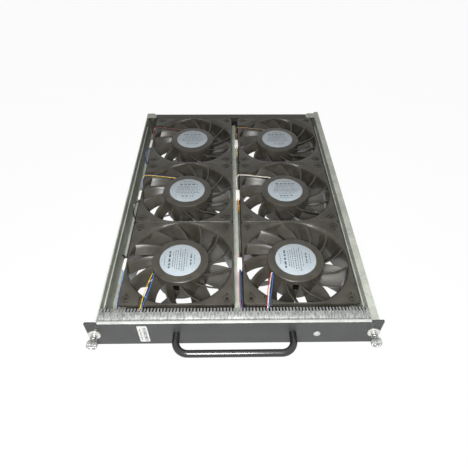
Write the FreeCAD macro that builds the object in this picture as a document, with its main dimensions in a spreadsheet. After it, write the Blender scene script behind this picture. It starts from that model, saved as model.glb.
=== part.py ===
import FreeCAD, Part
import math
import os
import re
import Sketcher

# Hot-swap fan tray: six axial fans in a folded steel tray behind a painted front panel
Vector = FreeCAD.Vector
doc = FreeCAD.newDocument("FanTray")
sheet = doc.addObject("Spreadsheet::Sheet", "sizes")

# Driving dimensions in millimetres
DIMENSIONS = [
    ("panel_ear", 11.5, "front panel beyond each side wall"),
    ("panel_height", 40, "front panel, also the height of the side walls"),
    ("panel_thick", 2, "painted front plate"),
    ("sheet_thick", 1.2, "galvanised sheet of the tray"),
    ("bend_radius", 2.6, "outside of the folds along the floor"),
    ("rail_flange", 6.5, "right wall's guide flange, turned outward"),
    ("flange_tail", 4, "guide flange beyond the rear returns"),
    ("rib_width", 5.5, "stiffening bead along each side wall"),
    ("rib_height", 1, "how far the bead stands in"),
    ("rib_drop", 13, "bead's centre line below the wall's top"),
    ("rib_inset", 24, "bead's ends from the panel face and the rear"),
    ("return_width", 15, "rear corner returns"),
    ("gusset_depth", 12, "corner tabs over the rear panel"),
    ("gusset_cut", 4, "cut-off corner of each tab"),
    ("slit", 0.3, "play between folded pieces"),
    ("carrier_depth", 13, "top plate of the gasket carrier"),
    ("carrier_leg", 14, "leg of the gasket carrier"),
    ("gasket_front", 2.4, "front edge of the finger strip"),
    ("gasket_depth", 15, "finger strip, front to back"),
    ("gasket_rise", 1.6, "crown of the fingers above the carrier"),
    ("crown_front", 4.5, "where the crown begins, behind the strip's front edge"),
    ("crown_back", 9, "where the crown ends, behind the strip's front edge"),
    ("gasket_thick", 0.25, "finger strip stock"),
    ("finger_pitch", 3.35, "finger to finger"),
    ("finger_gap", 0.8, "slot between fingers"),
    ("finger_root", 2, "uncut strip in front of the slots"),
    ("rear_thick", 1.2, "black rear panel"),
    ("rear_flange", 11, "top flange of the rear panel"),
    ("fan_side", 120, "square fan frame"),
    ("fan_depth", 38, "fan thickness"),
    ("fan_gap", 0.5, "between two fans of a column"),
    ("fan_corner", 4, "corner radius of the fan frame"),
    ("front_room", 22, "panel face to the front row"),
    ("rear_room", 14, "rear row to the back of the rear returns"),
    ("left_channel", 16.3, "wire channel beside the left wall"),
    ("centre_channel", 10, "wire channel between the columns"),
    ("right_room", 6.3, "right column to the right wall"),
    ("mouth_flare", 6.5, "how far the bore's mouth opens in the corners"),
    ("mouth_depth", 6, "depth of the flare"),
    ("rim_wall", 2, "frame wall at the middle of each side"),
    ("frame_flange", 4, "corner flanges, top and bottom"),
    ("hole_inset", 7.5, "frame holes from the frame's sides"),
    ("hole_radius", 2.15, "frame holes"),
    ("hub_radius", 32, "fixed hub that carries the motor"),
    ("hub_wall", 1.8, "skirt of the hub"),
    ("hub_plate", 2.4, "top plate of the hub"),
    ("hub_height", 16.5, "hub, plate and skirt"),
    ("window_width", 6, "opening in the hub's skirt"),
    ("window_height", 8.5, "opening in the hub's skirt"),
    ("window_x", -2.6, "opening's middle, off the hub's axis"),
    ("vane_count", 13, "guide vanes"),
    ("vane_start", -5.7, "degrees from the fan's X axis to the root of the first vane"),
    ("vane_sweep", 22, "degrees from the root of a vane to its tip"),
    ("vane_thick", 2.2, "guide vane"),
    ("vane_height", 10, "guide vane along the axis"),
    ("vane_lean", 6.8, "how far a vane's lower edge runs ahead"),
    ("vane_drop", 2.6, "upper edge of the vanes below the frame's top"),
    ("vane_dip", 2.4, "vane's root under its tip"),
    ("vane_bury", 2.5, "how deep a vane's root runs into the hub's side"),
    ("tube_radius", 6, "bearing tube of the motor"),
    ("rotor_radius", 29.5, "rotor cup"),
    ("rotor_bore", 24, "inside of the magnet ring"),
    ("rotor_floor", 3, "rotor's plate, and its height over the frame's bottom"),
    ("rotor_height", 19.5, "rotor cup along the axis"),
    ("rotor_bevel", 2, "lower edge of the rotor cup"),
    ("boss_radius", 5, "rotor's boss around the shaft"),
    ("blade_count", 7, "rotor blades"),
    ("blade_play", 1.4, "tips of the blades to the bore"),
    ("blade_thick", 1.8, "rotor blade"),
    ("blade_root", 16, "tangential run of a blade at the cup"),
    ("blade_tip", 26, "tangential run of a blade at its tip"),
    ("blade_height", 16.5, "rotor blade along the axis"),
    ("blade_lift", 1, "lower edge of the blades above the rotor's underside"),
    ("blade_bury", 4, "how deep a blade's root runs into the cup"),
    ("blade_sweep", 12, "degrees from the root of a blade to its tip"),
    ("shaft_radius", 1.5, "motor shaft"),
    ("bearing_radius", 4, "ball bearing, outside"),
    ("bearing_width", 4, "ball bearing"),
    ("running_play", 0.03, "shaft in its bearings"),
    ("core_radius", 23.2, "wound core of the motor"),
    ("core_height", 10, "lamination stack"),
    ("core_lift", 1.5, "core's middle above the rotor cup's middle"),
    ("yoke_wall", 3, "core around the bearing tube"),
    ("coil_height", 15, "windings along the axis"),
    ("coil_radius", 19, "windings, outside"),
    ("slot_width", 3.5, "slots between the poles"),
    ("board_radius", 28, "motor's circuit board"),
    ("board_thick", 1.2, "motor's circuit board"),
    ("label_radius", 23, "round label on the hub"),
    ("label_thick", 0.15, "label and sticker stock"),
    ("notch_width", 8, "lead's notch in the frame wall"),
    ("notch_depth", 3, "lead's notch in the frame wall"),
    ("notch_offset", 34.7, "lead's notch from the fan's axis"),
    ("notch_run", 11, "lead's notch, from the frame's side inward"),
    ("rail_height", 26, "centre rail"),
    ("rail_width", 6.4, "centre rail's top and foot"),
    ("plug_width", 5.2, "in-line lead connector"),
    ("plug_length", 16, "in-line lead connector"),
    ("plug_height", 5.6, "in-line lead connector"),
    ("plug_shift", 1.5, "connector's middle behind the fan's axis"),
    ("plug_step", 0.3, "plug half below the receptacle half"),
    ("latch_width", 2, "connector's latch"),
    ("latch_length", 8, "connector's latch"),
    ("handle_span", 118.6, "handle leg to handle leg"),
    ("handle_bar", 7.5, "handle's round bar"),
    ("handle_reach", 22.4, "panel face to the bar's axis"),
    ("handle_bend", 13, "bend of the bar's axis"),
    ("stem_radius", 2, "handle screws"),
    ("stem_grip", 8, "handle screw's length in the leg"),
    ("stem_head", 3.8, "handle screw's head"),
    ("stem_head_thick", 2.4, "handle screw's head"),
    ("head_bevel", 0.8, "edge of the handle screw's head"),
    ("screw_inset", 6.5, "captive screws from the panel's ends"),
    ("neck_radius", 2.5, "captive screw's shank"),
    ("neck_play", 0.08, "shank in its ferrule and ring on the shank"),
    ("tip_radius", 2, "captive screw's thread"),
    ("knob_radius", 5.4, "captive screw's head"),
    ("knob_length", 6.5, "captive screw's head"),
    ("knob_out", 15, "panel face to the head's front, screw pulled out"),
    ("knob_wall", 1.1, "wall of the head around the spring"),
    ("knob_floor", 3, "solid end of the head"),
    ("tip_length", 12.6, "panel face to the screw's tip, screw pulled out"),
    ("ferrule_flange", 6.4, "ferrule's front disc"),
    ("ferrule_face", 1.6, "ferrule's front disc"),
    ("ferrule_barrel", 4.4, "ferrule's barrel in the panel"),
    ("ferrule_tail", 0.8, "ferrule behind the panel"),
    ("ring_radius", 4.2, "snap ring on the screw"),
    ("ring_thick", 0.7, "snap ring"),
    ("ring_depth", 0.8, "depth of the ring's groove"),
    ("ring_gap", 3.5, "opening of the snap ring"),
    ("coil_wire", 0.6, "return spring's wire"),
    ("coil_mean", 3.4, "return spring's mean radius"),
    ("coil_turns", 4, "return spring"),
    ("lamp_x", 84.5, "status lamp from the panel's middle"),
    ("lamp_z", 18, "status lamp over the panel's lower edge"),
    ("lamp_radius", 3, "lens barrel"),
    ("lamp_rim", 3.7, "lens rim"),
    ("lamp_length", 8, "lens barrel behind the panel face"),
    ("lamp_dome", 2.2, "lens in front of the panel face"),
    ("lamp_bevel", 1.3, "bevel around the lens's front"),
    ("sticker_x", -92.7, "sticker from the panel's middle"),
    ("sticker_width", 10.2, "sticker"),
    ("sticker_height", 30, "sticker"),
    ("fixing_head", 3.35, "countersunk fan screw"),
    ("fixing_radius", 1.95, "countersunk fan screw"),
    ("fixing_length", 6, "countersunk fan screw"),
    ("rivet_radius", 1.6, "rear panel rivets"),
    ("rivet_head", 3, "rear panel rivets"),
    ("rivet_cap", 1, "rear panel rivets"),
    ("rivet_inset", 10, "rivets from the floor and the wall's top"),
    ("socket_width", 34, "rear connector"),
    ("socket_height", 12, "rear connector"),
    ("socket_wall", 1.6, "rear connector's shroud"),
    ("socket_in", 5, "rear connector in front of the rear panel"),
    ("socket_out", 5, "rear connector behind the rear returns"),
    ("socket_lip", 3, "rear connector's mounting lip"),
    ("lead_radius", 1.3, "fan lead, three cores"),
    ("lead_angle", 212, "degrees from the fan's X axis to where the lead leaves the hub"),
    ("loom_radius", 1.8, "wire loom"),
    ("left_start", 30, "front end of the left loom, behind the first fan's axis"),
    ("centre_start", 50, "front end of the centre loom, ahead of the first fan's axis"),
    ("loom_rise", 40, "run in which the left loom climbs to the rear connector"),
    ("loom_turn", 14, "left loom's bend into the rear"),
    ("spur_radius", 1, "loom's branch to a connector, and the lamp's cable"),
]
# Sizes that follow from those above
DERIVED = [
    ("fan_pitch", "=fan_side + fan_gap", "fan row to fan row"),
    ("duct_radius", "=fan_side / 2 - rim_wall", "fan bore, also the hole in the tray floor"),
    ("mouth_radius", "=duct_radius + mouth_flare", "flared mouth of the bore in the corners"),
    ("hole_offset", "=fan_side / 2 - hole_inset", "frame holes from the fan's axis"),
    ("blade_radius", "=duct_radius - blade_play", "tips of the blades"),
    ("tray_width", "=2 * sheet_thick + left_channel + 2 * fan_side + centre_channel + right_room",
     "outside of the side walls"),
    ("tray_depth", "=front_room + fan_side + 2 * fan_pitch + rear_room",
     "panel face to the back of the rear returns"),
    ("panel_width", "=tray_width + 2 * panel_ear", "front panel, end to end"),
]
names = {name for name, value, note in DIMENSIONS + DERIVED}
for row, (name, value, note) in enumerate(DIMENSIONS + DERIVED, 1):
    sheet.set(f"A{row}", note)
    sheet.set(f"B{row}", str(value))
    sheet.setAlias(f"B{row}", name)
doc.recompute()


def expand(text):
    """An expression in plain size names, with each name pointed at its cell."""
    return re.sub(r"[a-z]\w*", lambda m: "sizes." + m[0] if m[0] in names else m[0], text)


def num(text):
    return float(sheet.evalExpression(expand(text)))


def bind(item, path, text):
    item.setExpression(path, expand(text))


# Places that several pieces share, all from the sizes above
FRONT = "(handle_reach + handle_bar / 2 - tray_depth - socket_out) / 2"
HALF = "(tray_width / 2)"
INNER = "(tray_width / 2 - sheet_thick - slit)"
REAR = "(tray_depth - sheet_thick - rear_thick)"
LEFT_FAN = "(sheet_thick + left_channel + fan_side / 2 - tray_width / 2)"
RIGHT_FAN = f"({LEFT_FAN} + fan_side + centre_channel)"
FAN_ROW = "(front_room + fan_side / 2 + {row} * fan_pitch)"
SCREW_X = "(panel_width / 2 - screw_inset)"
RAIL_X = f"({LEFT_FAN} + fan_side / 2 + slit)"
SOCKET_X = f"({LEFT_FAN} + fan_side / 2 + centre_channel / 2)"
MIDDLE = "(panel_height / 2)"
RING_Y = "(panel_thick + ferrule_tail + 2 * neck_play)"
PLUG_X = "(-fan_side / 2 - slit - plug_width / 2)"
PLUG_Z = "(rail_height - sheet_thick + plug_height / 2 + neck_play)"
FANS = [(LEFT_FAN, row, "left") for row in range(3)]
FANS += [(RIGHT_FAN, row, "right") for row in range(3)]
BEND_SHARE = 0.45


def place(item, x="0", y="0", z="0", turn=0):
    """Seats a piece; y counts from the panel's front face, turn is degrees about Z."""
    item.Placement = FreeCAD.Placement(Vector(), FreeCAD.Rotation(Vector(0, 0, 1), turn))
    for axis, text in (("x", x), ("y", f"{FRONT} + {y}"), ("z", z)):
        bind(item, f"Placement.Base.{axis}", text)
    return item


def make_body(label):
    body = doc.addObject("PartDesign::Body", label)
    body.Label = label
    return body


def origin_feature(body, role):
    return next(item for item in body.Origin.OriginFeatures if item.Role == role)


def make_sketch(body, role, level, shapes):
    sketch = body.newObject("Sketcher::SketchObject", "Sketch")
    sketch.AttachmentSupport = (origin_feature(body, role), "")
    sketch.MapMode = "FlatFace"
    bind(sketch, "AttachmentOffset.Base.z", level)
    for shape in shapes:
        shape(sketch)
    return sketch


def hold(sketch, geometry, vertex, x, y):
    for kind, text in (("DistanceX", x), ("DistanceY", y)):
        index = sketch.addConstraint(Sketcher.Constraint(kind, -1, 1, geometry, vertex, num(text)))
        bind(sketch, f"Constraints[{index}]", text)


def outline(points):
    """A closed outline whose corners are held by expressions."""

    def draw(sketch):
        first = sketch.GeometryCount
        spots = [Vector(num(x), num(y), 0) for x, y in points]
        count = len(spots)
        for i in range(count):
            sketch.addGeometry(Part.LineSegment(spots[i], spots[(i + 1) % count]))
        for i in range(count):
            joint = Sketcher.Constraint("Coincident", first + i, 2, first + (i + 1) % count, 1)
            sketch.addConstraint(joint)
        for i, (x, y) in enumerate(points):
            hold(sketch, first + i, 1, x, y)

    return draw


def rectangle(x0, x1, y0, y1):
    return outline([(x0, y0), (x1, y0), (x1, y1), (x0, y1)])


def circle(x, y, radius):
    def draw(sketch):
        round_edge = Part.Circle(Vector(num(x), num(y), 0), Vector(0, 0, 1), num(radius))
        index = sketch.addGeometry(round_edge)
        hold(sketch, index, 3, x, y)
        size = sketch.addConstraint(Sketcher.Constraint("Radius", index, num(radius)))
        bind(sketch, f"Constraints[{size}]", radius)

    return draw


def pad(body, role, level, length, shapes, back=False):
    """Adds material along the sketch plane's normal, or against it when back is set."""
    sketch = make_sketch(body, role, level, shapes)
    feature = body.newObject("PartDesign::Pad", "Pad")
    feature.Profile = sketch
    feature.Reversed = back
    bind(feature, "Length", length)
    return feature


def pocket(body, role, level, length, shapes, back=False, taper="0"):
    """Cuts against the sketch plane's normal, or along it when back is set."""
    sketch = make_sketch(body, role, level, shapes)
    feature = body.newObject("PartDesign::Pocket", "Pocket")
    feature.Profile = sketch
    feature.Reversed = back
    bind(feature, "Length", length)
    bind(feature, "TaperAngle", taper)
    return feature


def revolve(body, axis, points):
    """A turned piece; points are (radius, along) beside the body's own axis."""
    sketch = make_sketch(body, "XY_Plane" if axis == "Y_Axis" else "XZ_Plane", "0", [outline(points)])
    feature = body.newObject("PartDesign::Revolution", "Turned")
    feature.Profile = sketch
    feature.ReferenceAxis = (origin_feature(body, axis), [""])
    feature.Angle = 360
    return feature


def ring_pattern(body, feature, count):
    pattern = body.newObject("PartDesign::PolarPattern", "Ring")
    pattern.Originals = [feature]
    pattern.Axis = (origin_feature(body, "Z_Axis"), [""])
    pattern.Angle = 360
    bind(pattern, "Occurrences", count)
    body.Tip = pattern
    return pattern


def soften(body, radius, chosen):
    """Rounds the edges of the body's last feature that the given test chooses."""
    doc.recompute()
    base = body.Tip
    picked = [f"Edge{i}" for i, edge in enumerate(base.Shape.Edges, 1) if chosen(edge)]
    feature = body.newObject("PartDesign::Fillet", "Round")
    feature.Base = (base, picked)
    bind(feature, "Radius", radius)
    return feature


def runs_along(edge, axis, spots):
    """Whether a straight edge lies along an axis through one of the given cross-section spots."""
    if edge.Curve.TypeId != "Part::GeomLine":
        return False
    if abs(abs(edge.Curve.Direction.dot(axis)) - 1) > 1e-6:
        return False
    point = edge.CenterOfMass
    flat = (point.y, point.z) if axis.x else (point.x, point.z) if axis.y else (point.x, point.y)
    return any(math.dist(flat, spot) < 1e-3 for spot in spots)


def copy_of(master, label):
    link = doc.addObject("App::Link", label)
    link.LinkedObject = master
    link.Label = label
    return link


def group_of(master, label, spots):
    """Identical pieces in one node; each spot is (x, y, z, turn) with y from the panel's face."""
    link = copy_of(master, label)
    link.ElementCount = len(spots)
    link.ShowElement = False
    turns = [FreeCAD.Rotation(Vector(0, 0, 1), turn) for x, y, z, turn in spots]
    seats = [Vector(num(x), num(f"{FRONT} + {y}"), num(z)) for x, y, z, turn in spots]
    link.PlacementList = [FreeCAD.Placement(seat, turn) for seat, turn in zip(seats, turns)]
    return link


def mirrored(points):
    """The same outline on the other side of x = 0."""
    return [(f"-({x})", y) for x, y in reversed(points)]


pieces = []


def keep(item):
    pieces.append(item)
    return item


def tray_pan():
    body = make_body("tray_pan")
    wall_top = "(panel_height - sheet_thick)"
    inside = "(tray_width / 2 - sheet_thick)"
    section = [
        (f"-{HALF}", "0"), (HALF, "0"), (HALF, wall_top),
        (f"{HALF} + rail_flange", wall_top), (f"{HALF} + rail_flange", "panel_height"),
        (inside, "panel_height"), (inside, "sheet_thick"),
        (f"-{inside}", "sheet_thick"), (f"-{inside}", "panel_height"), (f"-{HALF}", "panel_height"),
    ]
    pad(body, "XZ_Plane", "-panel_thick", "tray_depth - panel_thick", [outline(section)], back=True)
    half, thick = num(HALF), num("sheet_thick")
    folds = [(-half, 0), (half, 0)]
    soften(body, "bend_radius", lambda edge: runs_along(edge, Vector(0, 1, 0), folds))
    folds_in = [(thick - half, thick), (half - thick, thick)]
    soften(body, "bend_radius - sheet_thick", lambda edge: runs_along(edge, Vector(0, 1, 0), folds_in))
    tail = rectangle(HALF, f"{HALF} + rail_flange", wall_top, "panel_height")
    pad(body, "XZ_Plane", "-tray_depth", "flange_tail", [tail], back=True)
    front = rectangle(f"-{inside}", inside, "sheet_thick", wall_top)
    pad(body, "XZ_Plane", "-panel_thick", "sheet_thick", [front], back=True)
    side = [(f"-{inside}", "sheet_thick"), (f"return_width - {HALF}", "sheet_thick"),
            (f"return_width - {HALF}", "panel_height"), (f"-{inside}", "panel_height")]
    returns = [outline(side), outline(mirrored(side))]
    pad(body, "XZ_Plane", "sheet_thick - tray_depth", "sheet_thick", returns, back=True)
    tab_front = "(tray_depth - gusset_depth)"
    tab = [(f"-{inside}", tab_front), (f"return_width - {HALF}", tab_front),
           (f"return_width - {HALF}", "tray_depth - gusset_cut"),
           (f"return_width - gusset_cut - {HALF}", "tray_depth"), (f"-{inside}", "tray_depth")]
    pad(body, "XY_Plane", wall_top, "sheet_thick", [outline(tab), outline(mirrored(tab))])
    corner = [(f"return_width - {HALF} + slit", "panel_height - gusset_cut"),
              (f"return_width - {HALF} + slit", "panel_height + slit"),
              (f"return_width - gusset_cut - {HALF}", "panel_height + slit"),
              (f"return_width - gusset_cut - {HALF}", "panel_height")]
    corners = [outline(corner), outline(mirrored(corner))]
    pocket(body, "XZ_Plane", "sheet_thick - tray_depth", "sheet_thick", corners)
    rib_low = "(panel_height - rib_drop - rib_width / 2)"
    rib_high = "(panel_height - rib_drop + rib_width / 2)"
    bead = rectangle("rib_inset", "tray_depth - rib_inset", rib_low, rib_high)
    groove = rectangle("rib_inset + rib_height", "tray_depth - rib_inset - rib_height",
                       f"{rib_low} + rib_height", f"{rib_high} - rib_height")
    pad(body, "YZ_Plane", f"-{inside}", "rib_height", [bead])
    pad(body, "YZ_Plane", inside, "rib_height", [bead], back=True)
    pocket(body, "YZ_Plane", f"-{HALF}", "rib_height", [groove], back=True)
    pocket(body, "YZ_Plane", HALF, "rib_height", [groove])
    ducts = [circle(x, FAN_ROW.format(row=row), "duct_radius") for x, row, column in FANS]
    pocket(body, "XY_Plane", "0", "sheet_thick", ducts, back=True)
    sinks = [circle(x, y, "fixing_head + slit / 4") for x, y in fixing_spots()]
    pocket(body, "XY_Plane", "0", "sheet_thick", sinks, back=True, taper="-45")
    holes = [circle("lamp_x", "lamp_z", "lamp_radius + slit / 2")]
    holes += [circle(f"{side} * handle_span / 2", MIDDLE, "stem_radius + slit") for side in (-1, 1)]
    pocket(body, "XZ_Plane", "-panel_thick", "sheet_thick", holes)
    pocket(body, "XZ_Plane", "sheet_thick - tray_depth", "sheet_thick", rivet_holes())
    return place(body)


def fixing_spots():
    """Two screws on one diagonal of every fan."""
    return [(f"{x} + {side} * hole_offset", f"{FAN_ROW.format(row=row)} + {side} * hole_offset")
            for x, row, column in FANS for side in (-1, 1)]


def rivet_spots():
    across = f"({HALF} - return_width / 2)"
    return [(f"{side} * {across}", height) for side in (-1, 1)
            for height in ("rivet_inset", "panel_height - rivet_inset")]


def rivet_holes():
    return [circle(x, z, "rivet_radius + slit / 4") for x, z in rivet_spots()]


def front_panel():
    body = make_body("front_panel")
    end, lap = "panel_width / 2", f"({HALF} + slit)"
    low = "panel_height - sheet_thick"
    face = [(f"-{end}", "0"), (end, "0"), (end, "panel_height"), (lap, "panel_height"), (lap, low),
            (f"-{lap}", low), (f"-{lap}", "panel_height"), (f"-{end}", "panel_height")]
    shapes = [outline(face), circle("lamp_x", "lamp_z", "lamp_radius + slit / 4")]
    for side in (-1, 1):
        shapes.append(circle(f"{side} * {SCREW_X}", MIDDLE, "ferrule_barrel + slit / 4"))
        shapes.append(circle(f"{side} * handle_span / 2", MIDDLE, "stem_radius + slit"))
    pad(body, "XZ_Plane", "0", "panel_thick", shapes, back=True)
    half, height = num("panel_width") / 2, num("panel_height")
    corners = [(x, z) for x in (-half, half) for z in (0, height)]
    soften(body, "panel_thick / 2", lambda edge: runs_along(edge, Vector(0, 1, 0), corners))
    return place(body)


def gasket_carrier():
    body = make_body("gasket_carrier")
    plate = rectangle(f"-{INNER}", INNER, "0", "carrier_depth")
    pad(body, "XY_Plane", "panel_height - sheet_thick", "sheet_thick", [plate])
    leg = rectangle(f"-{INNER}", INNER, "panel_height - carrier_leg", "panel_height - sheet_thick")
    pad(body, "XZ_Plane", "-panel_thick - sheet_thick", "sheet_thick", [leg], back=True)
    return place(body)


def emi_gasket():
    body = make_body("emi_gasket")
    fingers = int(num(f"2 * {INNER} / finger_pitch"))
    width = f"({fingers} * finger_pitch)"
    crown = "(panel_height + gasket_rise)"
    stations = [
        ("gasket_front", "panel_height + gasket_thick"),
        ("gasket_front + finger_root", "panel_height + gasket_thick"),
        ("gasket_front + crown_front", crown),
        ("gasket_front + crown_back", crown),
        ("gasket_front + gasket_depth", "panel_height - gasket_thick"),
    ]
    under = [(y, f"{z} - gasket_thick") for y, z in reversed(stations)]
    pad(body, "YZ_Plane", f"-{width} / 2", width, [outline(stations + under)])
    first = f"(finger_pitch - {width} / 2)"
    slot = rectangle(f"{first} - finger_gap / 2", f"{first} + finger_gap / 2",
                     "gasket_front + finger_root", "gasket_front + gasket_depth + slit")
    cut = pocket(body, "XY_Plane", f"{crown} + slit", "gasket_rise + 4 * gasket_thick + slit", [slot])
    row = body.newObject("PartDesign::LinearPattern", "Fingers")
    row.Originals = [cut]
    row.Direction = (origin_feature(body, "X_Axis"), [""])
    row.Occurrences = fingers - 1
    bind(row, "Length", f"{fingers - 2} * finger_pitch")
    body.Tip = row
    return place(body)


def rear_panel():
    body = make_body("rear_panel")
    wall = rectangle(f"-{INNER}", INNER, "bend_radius", "panel_height - sheet_thick")
    window = rectangle(f"{SOCKET_X} - socket_width / 2 - slit", f"{SOCKET_X} + socket_width / 2 + slit",
                       f"{MIDDLE} - socket_height / 2 - slit", f"{MIDDLE} + socket_height / 2 + slit")
    pad(body, "XZ_Plane", f"-{REAR}", "rear_thick", [wall, window] + rivet_holes(), back=True)
    flange = rectangle(f"-{INNER}", INNER, f"{REAR} + rear_thick - rear_flange", f"{REAR} + rear_thick")
    pad(body, "XY_Plane", "panel_height - sheet_thick - rear_thick", "rear_thick", [flange])
    return place(body)


def rear_connector():
    body = make_body("rear_connector")
    wide, high = "socket_width / 2", "socket_height / 2"
    shell = rectangle(f"-{wide}", wide, f"-{high}", high)
    lip = rectangle(f"-{wide} - socket_lip", f"{wide} + socket_lip",
                    f"-{high} - socket_lip", f"{high} + socket_lip")
    mouth = rectangle(f"socket_wall - {wide}", f"{wide} - socket_wall",
                      f"socket_wall - {high}", f"{high} - socket_wall")
    tongue = rectangle(f"2 * socket_wall - {wide}", f"{wide} - 2 * socket_wall",
                       "-socket_wall / 2", "socket_wall / 2")
    length = f"(tray_depth + socket_out - {REAR} + socket_in)"
    pad(body, "XZ_Plane", "socket_in", length, [shell], back=True)
    pad(body, "XZ_Plane", "-rear_thick", "sheet_thick", [lip], back=True)
    depth = "(socket_out + sheet_thick)"
    pocket(body, "XZ_Plane", f"-({length} - socket_in)", depth, [mouth], back=True)
    root = f"-({length} - socket_in - {depth})"
    pad(body, "XZ_Plane", root, f"{depth} - socket_wall", [tongue], back=True)
    return place(body, SOCKET_X, REAR, MIDDLE)


def centre_rail():
    body = make_body("centre_rail")
    section = [
        ("0", "0"), ("rail_width", "0"), ("rail_width", "sheet_thick"), ("sheet_thick", "sheet_thick"),
        ("sheet_thick", "rail_height - 2 * sheet_thick"), ("rail_width", "rail_height - 2 * sheet_thick"),
        ("rail_width", "rail_height - sheet_thick"), ("0", "rail_height - sheet_thick"),
    ]
    pad(body, "XZ_Plane", "0", "fan_side + 2 * fan_pitch", [outline(section)], back=True)
    return place(body, RAIL_X, "front_room", "sheet_thick")


def handle():
    body = make_body("handle")
    leg, out, bend = num("handle_span / 2"), num("handle_reach"), num("handle_bend")
    cut = bend * (1 - math.sqrt(0.5))
    path = make_sketch(body, "XY_Plane", MIDDLE, [])
    path.addGeometry(Part.LineSegment(Vector(-leg, 0, 0), Vector(-leg, bend - out, 0)))
    path.addGeometry(Part.Arc(Vector(-leg, bend - out, 0), Vector(cut - leg, cut - out, 0),
                              Vector(bend - leg, -out, 0)))
    path.addGeometry(Part.LineSegment(Vector(bend - leg, -out, 0), Vector(leg - bend, -out, 0)))
    path.addGeometry(Part.Arc(Vector(leg - bend, -out, 0), Vector(leg - cut, cut - out, 0),
                              Vector(leg, bend - out, 0)))
    path.addGeometry(Part.LineSegment(Vector(leg, bend - out, 0), Vector(leg, 0, 0)))
    bar = make_sketch(body, "XZ_Plane", "0", [circle("-handle_span / 2", MIDDLE, "handle_bar / 2")])
    sweep = body.newObject("PartDesign::AdditivePipe", "Bow")
    sweep.Profile = bar
    sweep.Spine = path
    holes = [circle(f"{side} * handle_span / 2", MIDDLE, "stem_radius + slit / 4") for side in (-1, 1)]
    pocket(body, "XZ_Plane", "0", "stem_grip + slit", holes, back=True)
    return place(body)


def handle_screw():
    body = make_body("handle_screw")
    tip = "-panel_thick - sheet_thick - stem_grip"
    revolve(body, "Y_Axis", [
        ("0", tip), ("stem_radius", tip), ("stem_radius", "0"), ("stem_head", "0"),
        ("stem_head", "stem_head_thick - head_bevel"), ("stem_head - head_bevel", "stem_head_thick"),
        ("0", "stem_head_thick"),
    ])
    return body


def led_lens():
    body = make_body("led_lens")
    revolve(body, "Y_Axis", [
        ("0", "-lamp_dome"), ("lamp_rim - lamp_bevel", "-lamp_dome"), ("lamp_rim", "lamp_bevel - lamp_dome"),
        ("lamp_rim", "0"), ("lamp_radius", "0"), ("lamp_radius", "lamp_length"), ("0", "lamp_length"),
    ])
    return place(body, "lamp_x", "0", "lamp_z")


def panel_sticker():
    body = make_body("panel_sticker")
    face = rectangle("sticker_x - sticker_width / 2", "sticker_x + sticker_width / 2",
                     f"{MIDDLE} - sticker_height / 2", f"{MIDDLE} + sticker_height / 2")
    pad(body, "XZ_Plane", "0", "label_thick", [face])
    return place(body)


def screw_ferrule():
    body = make_body("screw_ferrule")
    bore, tail = "neck_radius + neck_play", "panel_thick + ferrule_tail"
    revolve(body, "Y_Axis", [
        (bore, "-ferrule_face"), ("ferrule_flange", "-ferrule_face"), ("ferrule_flange", "0"),
        ("ferrule_barrel", "0"), ("ferrule_barrel", tail), (bore, tail),
    ])
    return body


def thumbscrew():
    body = make_body("thumbscrew")
    groove = "neck_radius - ring_depth"
    ring_back = f"{RING_Y} + ring_thick + neck_play"
    edge = "knob_radius - knob_wall / 2"
    revolve(body, "Y_Axis", [
        ("0", "-knob_out"), (edge, "-knob_out"), ("knob_radius", "knob_wall / 2 - knob_out"),
        ("knob_radius", "knob_length - knob_out"), ("knob_radius - knob_wall", "knob_length - knob_out"),
        ("knob_radius - knob_wall", "knob_floor - knob_out"), ("neck_radius", "knob_floor - knob_out"),
        ("neck_radius", f"{RING_Y} - neck_play"), (groove, f"{RING_Y} - neck_play"),
        (groove, ring_back), ("neck_radius", ring_back),
        ("neck_radius", f"{ring_back} + knob_wall"), ("tip_radius", f"{ring_back} + 2 * knob_wall"),
        ("tip_radius", "tip_length - knob_wall / 2"), ("tip_radius - knob_wall / 2", "tip_length"),
        ("0", "tip_length"),
    ])
    slot = rectangle("-2 * knob_radius", "2 * knob_radius", "-knob_wall / 2", "knob_wall / 2")
    pocket(body, "XZ_Plane", "knob_out", "knob_wall", [slot])
    return body


def snap_ring():
    body = make_body("snap_ring")
    inside = "(neck_radius - ring_depth + neck_play)"
    shapes = [circle("0", "0", "ring_radius"), circle("0", "0", inside)]
    pad(body, "XZ_Plane", "0", "ring_thick", shapes, back=True)
    gap = rectangle("-ring_gap / 2", "ring_gap / 2", "-2 * ring_radius", "0")
    pocket(body, "XZ_Plane", "0", "ring_thick", [gap])
    return body


def screw_spring():
    body = make_body("screw_spring")
    start, end = "knob_floor - knob_out + neck_play", "-ferrule_face - neck_play"
    wire = rectangle("coil_mean - coil_wire / 2", "coil_mean + coil_wire / 2", start, f"{start} + coil_wire")
    profile = make_sketch(body, "XY_Plane", "0", [wire])
    coil = body.newObject("PartDesign::AdditiveHelix", "Coil")
    coil.Profile = profile
    coil.ReferenceAxis = (origin_feature(body, "Y_Axis"), [""])
    coil.Mode = "height-turns-angle"
    bind(coil, "Height", f"{end} - ({start}) - coil_wire")
    bind(coil, "Turns", "coil_turns")
    return body


def fan_screw():
    body = make_body("fan_screw")
    revolve(body, "Z_Axis", [
        ("0", "0"), ("fixing_head", "0"), ("fixing_head - sheet_thick", "sheet_thick"),
        ("fixing_radius", "sheet_thick"), ("fixing_radius", "fixing_length"), ("0", "fixing_length"),
    ])
    return body


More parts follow.
